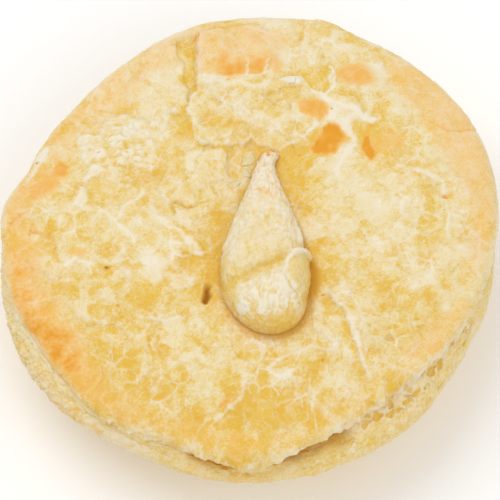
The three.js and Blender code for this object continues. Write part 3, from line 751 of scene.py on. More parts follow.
# Place, half length, stretch and direction of the free edge in degrees
FLAKES = (
    (0.7, 18.2, 2.1, 1, 215), (0.9, 14.8, 1.5, 0.9, 160), (-2.7, 11.7, 1.6, 0.7, 20),
    (13.2, 5.4, 0.6, 1.2, 80), (10.9, 40.8, 1.5, 1.2, 20), (-10.2, 22.6, 1.3, 1.2, 260),
)

# Dent and flap of the teardrop: place, half widths, turn in degrees and height
DROP_DENT = (3.0, -15.6, 9, 2.8, 26, 1.9)
DROP_FLAP = (12.4, -14.2, 5.4, 3, 75, 0.7)

# Painted shadow of the fold under the teardrop's nib, and the teardrop's floury patch: place, half widths
# and turn in degrees
DROP_NIB_SHADOW = (5.6, 18.3)
DROP_FLOUR = (6, -22, 7, 4, 15)

# Notches of the teardrop's right side: place along it, spread and depth
DROP_NOTCHES = ((-6.6, 1.5, 0.6), (-9.0, 0.8, -0.5))


class Crust:
    """Points and faces of a piece, with the height of its relief and its tones of baking and of painted
    shade.
    """

    def __init__(self, points, faces, edge=None):
        self.points = points
        self.faces = faces
        self.edge = np.zeros(len(points)) if edge is None else edge
        self.rise = np.zeros(len(points))
        self.laid = np.zeros(len(points))
        self.tones = {tone: np.zeros(len(points)) for tone in TONES}

    def add(self, tone, amount):
        """Adds to one tone."""
        self.tones[tone] += amount

    def leaves(self, points, size, step, seed, share=1.0, pale=0.6, butter=0.5):
        """Torn sheets: each rises to a pale torn edge and drops to the next one's damp golden foot,
        partly painted shade.
        """
        field = layered(points, size, seed) * LEAF_STEPS
        ramp = field - np.floor(field)
        self.rise += step * (ramp - 0.5) * share
        self.add("pale", pale * share * ramp ** 4)
        # Golden foot of each sheet: damp pastry, partly painted shade
        self.add("butter", butter * share * (1 - ramp) ** 3)

    def net(self, points, size, seed, share, line, rise, pale, butter):
        """Network of thin pale ridges, with more butter in some of the hollows between them."""
        away, number, _ = cells(points, size, seed)
        ridges = (1 - smoothstep(away, 0.1 * line, line)) * share
        self.rise += rise * ridges
        self.add("pale", pale * ridges)
        self.add("butter", butter * share * (number - 0.35) * smoothstep(away, 0.3 * line, 2.2 * line))

    def shingles(self, points, size, step, seed, share, pale, butter, lip=0.0):
        """Angular flakes that tip one way: pale at the lifted side, damp and golden where the other tucks
        under, partly painted shade.
        """
        away, number, along = cells(points, size, seed)
        lifted = smoothstep(along, -0.15, 0.6)
        edge = lifted * (1 - smoothstep(away, 0.05, 0.5))
        tucked = smoothstep(-along, -0.15, 0.55)
        self.rise += step * share * (along + 0.8 * (number - 0.5))
        self.add("pale", share * (pale * lifted ** 2 + lip * edge))
        # Golden where the flake tucks under: damp pastry, partly painted shade
        self.add("butter", butter * share * (tucked + 0.5 * (number - 0.5)))

    def plates(self, points, size, seed, share, pale, butter):
        """Angular plates, each of one tone."""
        number = cells(points, size, seed)[1]
        self.add("butter", butter * share * (number - 0.5))
        self.add("pale", pale * share * (0.5 - number))

    def lay(self, feature, ragged):
        """Lays one feature on, with ragged edges."""
        near = feature.near(self.points[:, 0], self.points[:, 1])
        if not len(near):
            return
        away, strength = feature.distance(ragged[near, 0], ragged[near, 1])
        fade = smoothstep(noise(self.points[near], 9, 73), 0.0, 0.5) if feature.lip else 0
        soft = feature.soft * (1 + 5 * fade)
        cover = strength * (1 - smoothstep(away, -soft, soft))
        self.rise[near] += feature.rise * cover
        if feature.tones and not feature.lip:
            self.laid[near] = np.maximum(self.laid[near], cover)
        for tone, value in feature.tones.items():
            self.tones[tone][near] = blend(self.tones[tone][near], value, 0.93 * cover)
        if feature.lip:
            torn = feature.lip * (1 - 0.85 * fade) * strength
            self.tones["pale"][near] += torn * (hill(away, -0.45, 0.55) - 0.4 * hill(away, 0.6, 0.6))
            # Golden foot outside a lip: damp pastry, partly painted shade
            self.tones["butter"][near] += 0.7 * torn * hill(away, 0.7, 0.7)

    def clip(self):
        """Keeps the tones from 0 to their most."""
        for tone, most in TONES.items():
            self.tones[tone] = np.clip(self.tones[tone], 0, most)

    def normals(self):
        """Outward direction at each point."""
        corners = self.points[self.faces]
        across = corners[:, 2] - corners[:, 0]
        other = corners[:, 3] - corners[:, 1]
        facing = np.cross(across, other)
        total = np.zeros_like(self.points)
        for corner, axis in np.ndindex(4, 3):
            total[:, axis] += np.bincount(self.faces[:, corner], facing[:, axis], len(self.points))
        return total / np.maximum(np.linalg.norm(total, axis=1, keepdims=True), 1e-9)

    def swell(self):
        """Moves the points out by the relief."""
        self.points = self.points + self.normals() * self.rise[:, None]


def add_piece(scene, form, name, crust, node=None):
    """Sets a crust down in the row's frame, riding on the pie, in place of its solid if it has one."""
    mesh = bpy.data.meshes.new(name)
    points = (crust.points - form.middle) * MM
    mesh.from_pydata(points.tolist(), [], [list(dict.fromkeys(face)) for face in crust.faces.tolist()])
    for tone, values in crust.tones.items():
        mesh.attributes.new(tone, "FLOAT", "POINT").data.foreach_set("value", values.astype(np.float32))
    mesh.polygons.foreach_set("use_smooth", np.ones(len(mesh.polygons), bool))
    mesh.materials.append(pastry_material(scene.pie_colours, *PASTRY[name]))
    mesh.update()
    piece = bpy.data.objects.new(name, mesh)
    scene.collection.objects.link(piece)
    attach(piece, "root")
    if node:
        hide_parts(node)


# Form of the pie, shared with the solids
def read_form(scene):
    """Driving sizes in millimetres, and how far the pie's own middle lies from the row's origin."""
    sizes = scene.pie_sizes
    form = SimpleNamespace(**{key: getattr(sizes, key) / MM for key in PieSizes.__annotations__})
    angle = np.linspace(-math.pi, math.pi, FORM_STEPS, endpoint=False)
    reach = np.maximum(lid_radius(form, angle), case_radius(form, angle))
    x, y = reach * np.cos(angle), reach * np.sin(angle)
    form.middle = np.array(((x.min() + x.max()) / 2, (y.min() + y.max()) / 2, 0))
    return form


def lid_radius(form, angle):
    """Radius of the lid's edge."""
    return form.lid_radius + round_sum(angle, LID_BULGES)


def case_radius(form, angle):
    """Radius of the case's rim."""
    return form.case_radius + round_sum(angle, CASE_BULGES)


def drop_half_width(form, share):
    """Half width of the teardrop at a share of its length from the tip."""
    def teardrop(turn):
        """Half width of a plain teardrop curve."""
        return np.sin(turn) * np.sin(turn / 2) ** DROP_TAPER

    widest = 2 * math.atan(math.sqrt(1 + DROP_TAPER))
    slender = form.drop_half_width * teardrop(np.arccos(1 - 2 * share)) / teardrop(widest)
    inward = np.clip(share * form.drop_length / DROP_TIP_RADIUS, 0, 1)
    blunt = DROP_TIP_RADIUS * np.sqrt(inward * (2 - inward)) * (1 - smoothstep(share, 0.5, 0.9))
    return np.maximum(slender, blunt) + DROP_NECK * hill(share, DROP_NECK_SHARE, DROP_NECK_SPREAD)


def drop_midline(form, share):
    """Place on the teardrop's midline at a share of its length from the tip."""
    curl = DROP_CURL * np.maximum(0, 1 - share / DROP_CURL_SHARE) ** 2
    lean = DROP_LEAN * smoothstep(share, DROP_LEAN_SHARE, 1)
    return DROP_TIP[0] + curl + lean, DROP_TIP[1] - form.drop_length * share


def drop_outline(form):
    """Corners of the teardrop's outline."""
    share = (1 - np.cos(np.linspace(0, math.pi, OUTLINE_STEPS + 1))) / 2
    middle_x, middle_y = drop_midline(form, share)
    half = drop_half_width(form, share)
    right = np.stack((middle_x + half, middle_y), axis=1)
    left = np.stack((middle_x - half, middle_y), axis=1)
    return np.concatenate((right, left[-2:0:-1]))


def drop_distance(form, x, y):
    """Rough distance to the teardrop's outline, as its seat is shaped, below 0 inside it."""
    nearest = np.full(x.shape, np.inf)
    for share in np.linspace(0, 1, MIDLINE_STEPS + 1):
        middle_x, middle_y = drop_midline(form, share)
        nearest = np.minimum(nearest, np.hypot(x - middle_x, y - middle_y) - drop_half_width(form, share))
    return nearest


def lid_height(form, x, y):
    """Smooth top of the lid, with the flat seat of the teardrop let into it."""
    outward = np.hypot(x, y) / (lid_radius(form, np.arctan2(y, x)) - LID_SHOULDER)
    height = form.lid_edge_top + form.lid_dome * (1 - outward ** LID_FLATNESS)
    for wave, turn, swell, phase in SWELLS:
        along = x * math.cos(math.radians(turn)) + y * math.sin(math.radians(turn))
        height = height + swell * np.sin(2 * math.pi * along / wave + phase)
    away = smoothstep(drop_distance(form, x, y), SEAT_MARGIN, SEAT_MARGIN + SEAT_BLEND)
    return blend(SEAT_HEIGHT, height, away)


def disc_place(a, b):
    """Square grid place from -1 to 1 taken to a round disc."""
    sideways = np.abs(a) > np.abs(b)
    radius = np.where(sideways, a, b)
    safe = np.where(radius == 0, 1, radius)
    angle = np.where(sideways, math.pi / 4 * b / safe, math.pi / 2 - math.pi / 4 * a / safe)
    return radius * np.cos(angle), radius * np.sin(angle)


def band_faces(lower, upper):
    """Faces between two rings of points, the upper one further up over the outside."""
    return np.stack((lower, np.roll(lower, -1), np.roll(upper, -1), upper), axis=1)


def fan_faces(ring, centre, faces_down):
    """Faces from a ring to one point."""
    following = np.roll(ring, -1)
    middle = np.full(len(ring), centre)
    first, second = (following, ring) if faces_down else (ring, following)
    return np.stack((first, second, middle, middle), axis=1)


class Rings:
    """Rings of points round the pie's axis, laid one after another."""

    def __init__(self, angle, start=0):
        self.angle = angle
        self.points = []
        self.edges = []
        self.rings = []
        self.next = start

    def add(self, radius, height, edge):
        """Lays one ring, with its place across the edge."""
        count = len(self.angle)
        height = np.broadcast_to(height, count)
        ring = np.stack((radius * np.cos(self.angle), radius * np.sin(self.angle), height), axis=1)
        self.points.append(ring)
        self.edges.append(np.full(count, float(edge)))
        self.rings.append(np.arange(self.next, self.next + count))
        self.next += count

    def arc(self, start, end, steps, leaves_flat, edges, power=1.0):
        """Quarter of an ellipse between two places of radius and height, squarer for a power below 1."""
        for step in range(1, steps + 1):
            turn = math.pi / 2 * step / steps
            far, near = math.sin(turn) ** power, 1 - math.cos(turn) ** power
            outward, upward = (far, near) if leaves_flat else (near, far)
            edge = blend(*edges, step / steps)
            self.add(blend(start[0], end[0], outward), blend(start[1], end[1], upward), edge)

    def slope(self, start, end, steps, edges):
        """Straight stretch between two places of radius and height."""
        for step in range(1, steps + 1):
            share = step / steps
            self.add(blend(start[0], end[0], share), blend(start[1], end[1], share), blend(*edges, share))


def shape_lid(form):
    """Smooth lid: a grid over its top, a rounded edge and an underside on the rim."""
    lines = np.linspace(-1, 1, LID_DIVISIONS + 1)
    across, up = disc_place(*np.meshgrid(lines, lines, indexing="ij"))
    reach = lid_radius(form, np.arctan2(up, across)) - LID_SHOULDER
    x, y = (across * reach).ravel(), (up * reach).ravel()
    top = np.stack((x, y, lid_height(form, x, y)), axis=1)
    grid = np.arange(len(top)).reshape(across.shape)
    squares = (grid[:-1, :-1], grid[1:, :-1], grid[1:, 1:], grid[:-1, 1:])
    squares = np.stack(squares, axis=-1).reshape(-1, 4)
    rim = np.concatenate((grid[-1, :-1], grid[:0:-1, -1], grid[0, :0:-1], grid[:-1, 0]))

    angle = 2 * math.pi * np.arange(LID_AROUND) / LID_AROUND - math.pi / 4
    radius = lid_radius(form, angle)
    low = form.lid_low - round_sum(angle, EDGE_DROOP) + GAP_LIFT_SHARE * round_sum(angle, EDGE_GAPS)
    shoulder = (radius - LID_SHOULDER, top[rim, 2])
    lip = (radius, low + LID_LIP)
    undercut = (radius - LID_UNDERCUT, low)
    lap_end = (radius - LID_LAP, np.full(LID_AROUND, form.lid_low))
    rings = Rings(angle, len(top))
    rings.arc(shoulder, lip, SHOULDER_STEPS, True, (0, 1), 1 - TORN_SQUARE * round_sum(angle, TORN_EDGES))
    rings.slope(lip, undercut, UNDERCUT_STEPS, (1, 2))
    rings.slope(undercut, lap_end, UNDERSIDE_STEPS, (2, 3))
    order = [rim] + rings.rings
    bands = [band_faces(below, above) for above, below in zip(order, order[1:])]
    centre = np.array([(0, 0, form.lid_low)])
    cap = fan_faces(order[-1], rings.next, True)
    points = np.concatenate([top] + rings.points + [centre])
    edge = np.concatenate([np.zeros(len(top))] + rings.edges + [[3.0]])
    return Crust(points, np.concatenate([squares] + bands + [cap]), edge)


def tint_lid(crust):
    """Broad tones of the lid, before anything is laid on it."""
    x, y = crust.points[:, :2].T
    crust.add("butter", 0.42 + 0.3 * layered(crust.points, 13, 21))
    crust.add("butter", 0.14 * layered(crust.points, 3.2, 22))
    crust.add("pale", 0.04 + 0.22 * layered(crust.points, 8, 25))
    for at_x, at_y, spread, butter, pale in BROAD_TONES:
        near = hill(np.hypot(x - at_x, y - at_y), 0, spread)
        crust.add("butter", butter * near)
        crust.add("pale", pale * near)


def brown_rim(crust, angle, outward):
    """Browned band along the lid's rim, given how far out each point lies as a share of the radius."""
    band = smoothstep(outward, BAND_INNER - round_sum(angle, BAND_REACH), 0.95)
    band = band * (1 - 0.4 * smoothstep(outward, 0.94, 1.0) * (1 - round_sum(angle, LEFT_SIDE)))
    grain = 0.8 + 0.2 * noise(crust.points, 0.8, 81) + 0.35 * layered(crust.points, 6, 83)
    crust.add("brown", np.clip(band * round_sum(angle, RIM_BROWNING) * grain, 0, 1))


def flake_lid(crust, ragged, gap):
    """Flakes of all sizes between the lid's features, given each point's distance from the teardrop."""
    x, y = crust.points[:, :2].T
    plain = smoothstep(gap, -0.2, 0.8) * (1 - 0.7 * crust.tones["brown"]) * (1 - 0.6 * crust.laid)
    plain = plain * (1 - 0.3 * hill(np.hypot(x - CALM[0], y - CALM[1]), 0, CALM[2]))
    torn = smoothstep(layered(crust.points, 20, 31), -0.25, 0.35)
    netted = smoothstep(-y, -8, 40) * smoothstep(noise(crust.points, 14, 51), -0.4, 0.4)
    large = warped(ragged, 39, ((9.0, 2.2),))
    crust.leaves(ragged, 17, 0.15, 41, plain, pale=0.2, butter=0.25)
    crust.shingles(large, 11, 0.25, 42, plain, pale=0.15, butter=0.27, lip=0.2)
    crust.shingles(ragged, 5.8, 0.14, 43, plain * (0.4 + 0.6 * torn), pale=0.2, butter=0.24, lip=0.35)
    crust.plates(ragged, 4.6, 55, plain, pale=0.18, butter=0.56)
    crust.shingles(ragged, 2.8, 0.08, 47, plain, pale=0.13, butter=0.16, lip=0.1)
    crust.shingles(ragged, 1.4, 0.04, 49, plain, pale=0.08, butter=0.1)
    crust.net(ragged, 6.4, 53, plain * netted, line=0.4, rise=0.12, pale=0.5, butter=0.3)


def blister_lid(crust):
    """White blisters and the moist lines between them."""
    x, y = crust.points[:, :2].T
    at_x, at_y, half_x, half_y = BLISTERS
    patch = hill(np.hypot((x - at_x) / half_x, (y - at_y) / half_y), 0, 1)
    away, number, _ = cells(warped(crust.points, 63, ((2.4, 0.3),)), 1.9, 61)
    bubble = smoothstep(away, 0.1, 0.7) * patch
    crust.rise += 0.3 * bubble * (number > 0.4)
    crust.add("pale", bubble * (number > 0.5) - 0.2 * patch)
    crust.add("butter", 0.9 * bubble * (number < 0.25) + 0.5 * patch * (1 - smoothstep(away, 0.05, 0.5)))


def shade_seat(crust, gap):
    """Golden band round the teardrop, partly damp pastry and partly painted shade, with a painted shadow
    line round it and a painted pale band below it, given each point's distance from it.
    """
    x, y = crust.points[:, :2].T
    # Golden band round the teardrop: damp pastry, and painted shade where the teardrop blocks the light
    moist_and_shaded = np.clip(0.6 + 0.9 * noise(crust.points, 6, 85), 0, 1) * smoothstep(y, -24, -16)
    moist_and_shaded = moist_and_shaded * hill(gap, 0, 3.2)
    crust.add("butter", 0.7 * moist_and_shaded)
    crust.tones["pale"] *= 1 - 0.7 * moist_and_shaded
    # Painted shadow: an amber crescent on the right and a line along the foot, with golden pastry under
    # the foot
    right = smoothstep(x, 8, 14) * hill(y, -14, 8)
    low = smoothstep(-y, 19, 25)
    reach = 0.35 + 1.1 * right + 0.45 * low
    crust.add("shade", (0.2 + 0.8 * right + 0.25 * low) * (1 - smoothstep(gap, reach, 2.3 * reach)))
    crust.add("butter", 0.8 * low * hill(gap, 0, 1.6))
    # Painted light: paler pastry a little below the foot, against the teardrop's cast shadow
    crust.add("pale", 0.1 * low * hill(gap, 3.2, 1.4))


def bake_lid(crust, form):
    """Relief and tones of the lid's torn and browned pastry."""
    x, y = crust.points[:, :2].T
    angle = np.arctan2(y, x)
    ragged = warped(crust.points, 3)
    gap = np.maximum(patch_distance(x, y, drop_outline(form)), 0)
    tint_lid(crust)
    brown_rim(crust, angle, np.hypot(x, y) / lid_radius(form, angle))
    for feature in LID_FEATURES:
        crust.lay(feature, ragged)
    crust.tones["brown"] *= 1 + 0.22 * layered(crust.points, 2.2, 87)
    rich = crust.tones["butter"]
    crust.tones["butter"] = np.where(rich > RICH, RICH + RICH_SHARE * (rich - RICH), rich)
    flake_lid(crust, ragged, gap)
    blister_lid(crust)
    crust.rise *= smoothstep(gap, 0.1, 1.2)
    shade_seat(crust, gap)
    crust.lay(VENT, ragged)
    for speck_x, speck_y, radius in SPECKS:
        crust.add("shade", 1.6 * hill(np.hypot(x - speck_x, 1.4 * (y - speck_y)), 0, radius))
    bake_edge(crust, angle)
    crust.clip()


def bake_edge(crust, angle):
    """Layers and pale torn line along the lid's edge, and painted shade on its underside."""
    left = round_sum(angle, LEFT_SIDE)
    side = smoothstep(crust.edge, 0.35, 0.9) * (1 - smoothstep(crust.edge, 1.9, 2.2))
    uneven = 0.6 * layered(crust.points, 9, 91) + 0.25 * noise(crust.points, 2.5, 93)
    layer = crust.points[:, 2] / EDGE_LAYER + uneven
    ramp = layer - np.floor(layer)
    broken = smoothstep(layered(crust.points, 7, 95), -0.5, 0.3)
    lip = hill(crust.edge, 1.0, 0.35) * round_sum(angle, FRONT_EDGE)
    crust.rise += side * 0.3 * (ramp - 0.6) * broken + lip * (0.8 * layered(crust.points, 2.6, 97) - 0.1)
    crust.rise *= 1 - smoothstep(crust.edge, 1.6, 2.0)
    white = 0.5 + round_sum(angle, EDGE_WHITE)
    crust.add("pale", side * (0.1 + 0.25 * ramp) + white * hill(crust.edge, 1.1, 0.16))
    crust.add("butter", side * 0.45 * (1 - ramp) ** 2 * broken * (1 - 0.6 * left))
    crust.tones["brown"] *= 1 - 0.75 * side * (1 - 0.7 * left * (1 - smoothstep(crust.edge, 0.7, 1.1)))
    # Painted shade on the lid's underside, less on the left
    crust.add("shade", (0.5 - 0.4 * left) * smoothstep(crust.edge, 1.5, 2.1))


def shape_flakes(form):
    """Thin flakes on the lid. Gives their crust, how free each point is, and which points are below."""
    draw = np.random.default_rng(FLAKE_SEED)
    numbers = np.arange(FLAKE_CORNERS)
    steps = np.arange(FLAKE_SIDES) * FLAKE_CORNERS / FLAKE_SIDES
    points, free, below, faces = [], [], [], []
    for x, y, size, stretch, lie in FLAKES:
        turns = 2 * math.pi * (numbers + draw.uniform(-0.3, 0.3, FLAKE_CORNERS)) / FLAKE_CORNERS
        reach = draw.uniform(0.7, 1.15, FLAKE_CORNERS)
        outline = [
            np.interp(steps, numbers, corner, period=FLAKE_CORNERS)
            for corner in (reach * np.cos(turns), reach * np.sin(turns) * stretch)
        ]
        along, across = (np.concatenate(([0.0], np.outer(FLAKE_RINGS, line).ravel())) for line in outline)
        lean = math.radians(lie)
        side = np.stack((
            x + size * (along * math.cos(lean) - across * math.sin(lean)),
            y + size * (along * math.sin(lean) + across * math.cos(lean)),
        ), axis=1)
        start = len(points) * 2 * len(side)
        top = start + 1 + np.arange(len(FLAKE_RINGS) * FLAKE_SIDES).reshape(-1, FLAKE_SIDES)
        under = top + len(side)
        faces.append(fan_faces(top[0], start, False))
        faces.extend(band_faces(outer, inner) for inner, outer in zip(top, top[1:]))
        faces.append(band_faces(under[-1], top[-1]))
        faces.extend(band_faces(inner, outer) for inner, outer in zip(under, under[1:]))
        faces.append(fan_faces(under[0], start + len(side), True))
        points.append(np.concatenate((side, side)))
        free.append(np.tile(np.clip(0.5 + 0.5 * along, 0, 1), 2))
        below.append(np.repeat((0.0, 1.0), len(side)))
    flat = np.concatenate(points)
    places = np.column_stack((flat, lid_height(form, flat[:, 0], flat[:, 1])))
    return Crust(places, np.concatenate(faces)), np.concatenate(free), np.concatenate(below)


def bake_flakes(crust, form, free, below):
    """Lays the flakes on the lid's relief, each lifted at its free edge, where it is dry and pale."""
    bake_lid(crust, form)
    lift = FLAKE_LIFT * free ** 2 * (0.6 + 0.5 * noise(crust.points, 6, 221))
    crust.points[:, 2] += crust.rise + lift + FLAKE_THICK * (free - below)
    crust.add("pale", 0.2 * free - 0.2 * below)
    crust.add("butter", 0.3 * below)
    crust.clip()


def shape_layers(form):
    """Torn layers from the case's rim up to the lid's edge, all round, closed behind."""
    angle = 2 * math.pi * np.arange(SEAM_AROUND) / SEAM_AROUND - math.pi
    gaps, droop = round_sum(angle, EDGE_GAPS), round_sum(angle, EDGE_DROOP)
    torn = np.clip(round_sum(angle, SEAM_TORN), 0, 1)
    rim, lid = case_radius(form, angle), lid_radius(form, angle)
    rim_top = form.lid_low - SEAM_GAP - droop - (1 - GAP_LIFT_SHARE) * gaps

    def on_roll(inward, proud):
        """Place on the rim's roll at a share of its width from the outside."""
        inward = np.clip(inward, 0, 1)
        return rim - inward * SHELF, blend(LIP_MIDDLE, rim_top, np.sqrt(inward * (2 - inward))) + proud

    start = on_roll(blend(SEAM_START, SEAM_TORN_START, torn), -SEAM_PROUD)
    shut = 1 - 0.85 * np.clip(gaps, 0, 1)
    end = (lid - 0.15 - 0.9 * gaps, rim_top + SEAM_GAP + 0.8 * LID_LIP * shut)
    middle = on_roll(np.minimum(0.9, (rim - (start[0] + end[0]) / 2) / SHELF), SEAM_PROUD)
    inner = np.minimum(start[0], end[0]) - SEAM_DEPTH
    rings = Rings(angle)
    rings.add(*start, 0)
    rings.slope(start, middle, SEAM_STEPS // 2, (0, 0.5))
    rings.slope(middle, end, SEAM_STEPS // 2, (0.5, 1))
    rings.add(inner, end[1], 2)
    rings.add(inner, start[1], 2)
    order = rings.rings + rings.rings[:1]
    faces = [band_faces(below, above) for below, above in zip(order, order[1:])]
    return Crust(np.concatenate(rings.points), np.concatenate(faces), np.concatenate(rings.edges))


def bake_layers(crust):
    """Relief and tones of the torn layers: dry and pale, with damp golden pits where bubbles tore open,
    partly painted shade, and painted shade in the open gaps and under the lid's lip.
    """
    x, y, z = crust.points.T
    angle = np.arctan2(y, x)
    torn = round_sum(angle, SEAM_TORN)
    left = round_sum(angle, LEFT_SIDE)
    gaps = np.clip(round_sum(angle, EDGE_GAPS) - 0.5, 0, 1)
    shown = smoothstep(crust.edge, 0.02, 0.2) * (1 - smoothstep(crust.edge, 0.8, 1.0))
    sheet = np.stack((SEAM_RADIUS * angle, np.hypot(x, y) - 1.5 * z, 0 * z), axis=1)
    ragged = warped(sheet, 321, ((3.0, 0.9), (1.0, 0.3)))
    away, number, _ = cells(ragged, PIT_SIZE, 323)
    rare = 0.8 - 0.42 * torn + 0.2 * left
    pitted = smoothstep(number, rare, rare + 0.18) * (1 - gaps)
    pit = pitted * smoothstep(away, 0.05, 1.0)
    rough = (0.3 + 0.3 * left) * layered(ragged, 2.4, 325) + 0.12 * noise(ragged, 0.9, 327)
    crust.rise += shown * (rough - PIT_DEPTH * (0.4 + 0.6 * torn) * pit)

    flecks = smoothstep(noise(ragged, 1.1, 333), 0.15, 0.45) * (0.3 + 0.7 * left)
    # Golden pits: damp pastry, partly painted shade in them
    crust.add("butter", 0.6 + 0.35 * layered(ragged, 3.5, 329) - 0.25 * left + 0.6 * flecks + 0.55 * pit)
    crust.add("brown", 0.18 - 0.1 * left - 0.06 * torn)
    crust.add("pale", 0.1 + 0.35 * layered(ragged, 1.8, 331) + 0.2 * left + 0.05 * torn)
    crust.tones["pale"] *= 1 - 0.85 * np.maximum(pit, gaps)
    crust.add("pale", 0.6 * pitted * (1 - smoothstep(away, 0.1, 0.45)))
    crust.add("pale", 0.4 * torn * smoothstep(crust.edge, 0.5, 0.85) * (1 - np.maximum(pit, gaps)))
    # Painted shade: a little in the pits, and deep in the open gaps
    deep = GAP_SHADE + round_sum(angle, DEEPEST_GAP)
    crust.add("shade", 0.05 * pit + deep * gaps * smoothstep(crust.edge, 0.15, 0.7))
    # Painted shade under the lid's lip, except on the left and where the seam is torn
    crust.add("shade", 0.18 * (1 - left) * (1 - torn) * smoothstep(crust.edge, 0.75, 1.0))
    crust.clip()


def shape_case(form):
    """Smooth case: flat bottom, sloping wall, rolled rim and a top that the lid covers."""
    angle = 2 * math.pi * np.arange(CASE_AROUND) / CASE_AROUND - math.pi / 4
    rim = case_radius(form, angle)
    flat = np.zeros(CASE_AROUND)
    top = form.lid_low - SEAM_GAP
    sunk = round_sum(angle, EDGE_DROOP) + (1 - GAP_LIFT_SHARE) * round_sum(angle, EDGE_GAPS)
    sunk = sunk + PIT_ROOM * round_sum(angle, SEAM_TORN)
    middle = (flat + form.foot_radius * BOTTOM_HOLE, flat)
    foot = (flat + form.foot_radius, flat)
    wall_foot = (foot[0] + FOOT_ROUND, flat + FOOT_ROUND)
    wall_top = (rim - LIP_DEPTH, flat + LIP_LOW)
    rim_side = (rim, flat + LIP_MIDDLE)
    rim_top = (rim - SHELF, top - sunk)
    lap_end = (lid_radius(form, angle) - LID_LAP, flat + top)

    rings = Rings(angle)
    rings.add(*middle, -1)
    rings.slope(middle, foot, BOTTOM_STEPS, (-1, -0.5))
    rings.arc(foot, wall_foot, FOOT_STEPS, True, (-0.5, 0))
    rings.slope(wall_foot, wall_top, WALL_STEPS, (0, 1))
    rings.arc(wall_top, rim_side, LIP_STEPS, True, (1, 1.5))
    rings.arc(rim_side, rim_top, ROLL_STEPS, False, (1.5, 2))
    rings.slope(rim_top, lap_end, LAP_STEPS, (2, 3))
    bands = [band_faces(below, above) for below, above in zip(rings.rings, rings.rings[1:])]
    base = fan_faces(rings.rings[0], rings.next, True)
    cap = fan_faces(rings.rings[-1], rings.next + 1, False)
    points = np.concatenate(rings.points + [np.array([(0, 0, 0), (0, 0, top)])])
    edge = np.concatenate(rings.edges + [[-1.0, 3.0]])
    return Crust(points, np.concatenate(bands + [base, cap]), edge)


def bake_case(crust, form):
    """Relief and tones of the case: pale and flaky at the rim, browned by the tin below it, with painted
    shade where the lid laps over it and in the crease under the rim's roll.
    """
    x, y = crust.points[:, :2].T
    angle = np.arctan2(y, x)
    left = round_sum(angle, LEFT_SIDE)
    stretched = crust.points * (1, 1, 2.2)
    bottom = 1 - smoothstep(crust.edge, -0.3, 0.1)
    wall = (1 - bottom) * (1 - smoothstep(crust.edge, 0.7, 1.1))
    rim = smoothstep(crust.edge, 0.9, 1.2) * (1 - smoothstep(crust.edge, 1.95, 2.2))

    crust.add("butter", 0.42 + 0.25 * layered(stretched, 12, 121) + 0.12 * noise(crust.points, 2.0, 122))
    crust.add("pale", 0.15 + 0.25 * layered(crust.points, 7, 123))
    crust.rise += 0.3 * layered(crust.points, 8, 125) * np.maximum(rim, 0.6 * wall)
    crust.leaves(warped(stretched, 127), 9, 0.22, 129, np.maximum(rim, 0.5 * wall), pale=0.3, butter=0.25)
    crust.net(warped(crust.points, 131), 2.6, 133, 0.5 * rim, line=0.3, rise=0.06, pale=0.25, butter=0.3)

    crumbs = round_sum(angle, CASE_CRUMBS) * np.clip(0.7 * noise(crust.points, 1.8, 147), 0, 1)
    crust.add("pale", rim * round_sum(angle, CASE_PALE))
    crust.add("butter", rim * round_sum(angle, CASE_GOLD))
    crust.add("brown", rim * (round_sum(angle, CASE_BROWN) + crumbs))
    torn = round_sum(angle, CASE_TORN) * rim
    crust.leaves(warped(crust.points, 135), 3.5, 0.3, 137, torn, pale=0.35, butter=0.5)
    crust.leaves(warped(crust.points, 139), 3.0, 0.5, 141, left * rim, pale=0.65, butter=0.6)
    crust.rise += 0.4 * layered(crust.points, 3.2, 149) * left * rim

    mottle = layered(crust.points, 16, 143)
    crust.add("brown", wall * np.clip(0.22 + 0.35 * mottle, 0, 1))
    crust.add("brown", bottom * np.clip(0.3 + 0.4 * mottle, 0, 1))
    crust.add("butter", 0.2 * np.maximum(wall, bottom))
    crust.rise += 0.12 * layered(crust.points, 3, 145) * np.maximum(wall, rim)
    # Painted shade on the covered shelf under the lid's edge, and a thin painted shade line in the crease
    # under the rim's roll
    lapped = smoothstep(lid_radius(form, angle) - np.hypot(x, y), -0.2, 1.2)
    crust.add("shade", 0.9 * lapped * smoothstep(crust.edge, 1.7, 2.0))
    crust.add("shade", 0.2 * hill(crust.edge, 1.0, 0.12))
    crust.rise *= (1 - smoothstep(crust.edge, 1.9, 2.1)) * smoothstep(crust.edge, -0.4, 0.0)
    crust.clip()


def oval_share(x, y, middle_x, middle_y, long, wide, turn):
    """Squared distance from an oval's middle, 1 at its edge."""
    lean = math.radians(turn)
    along = (x - middle_x) * math.cos(lean) + (y - middle_y) * math.sin(lean)
    across = (y - middle_y) * math.cos(lean) - (x - middle_x) * math.sin(lean)
    return (along / long) ** 2 + (across / wide) ** 2


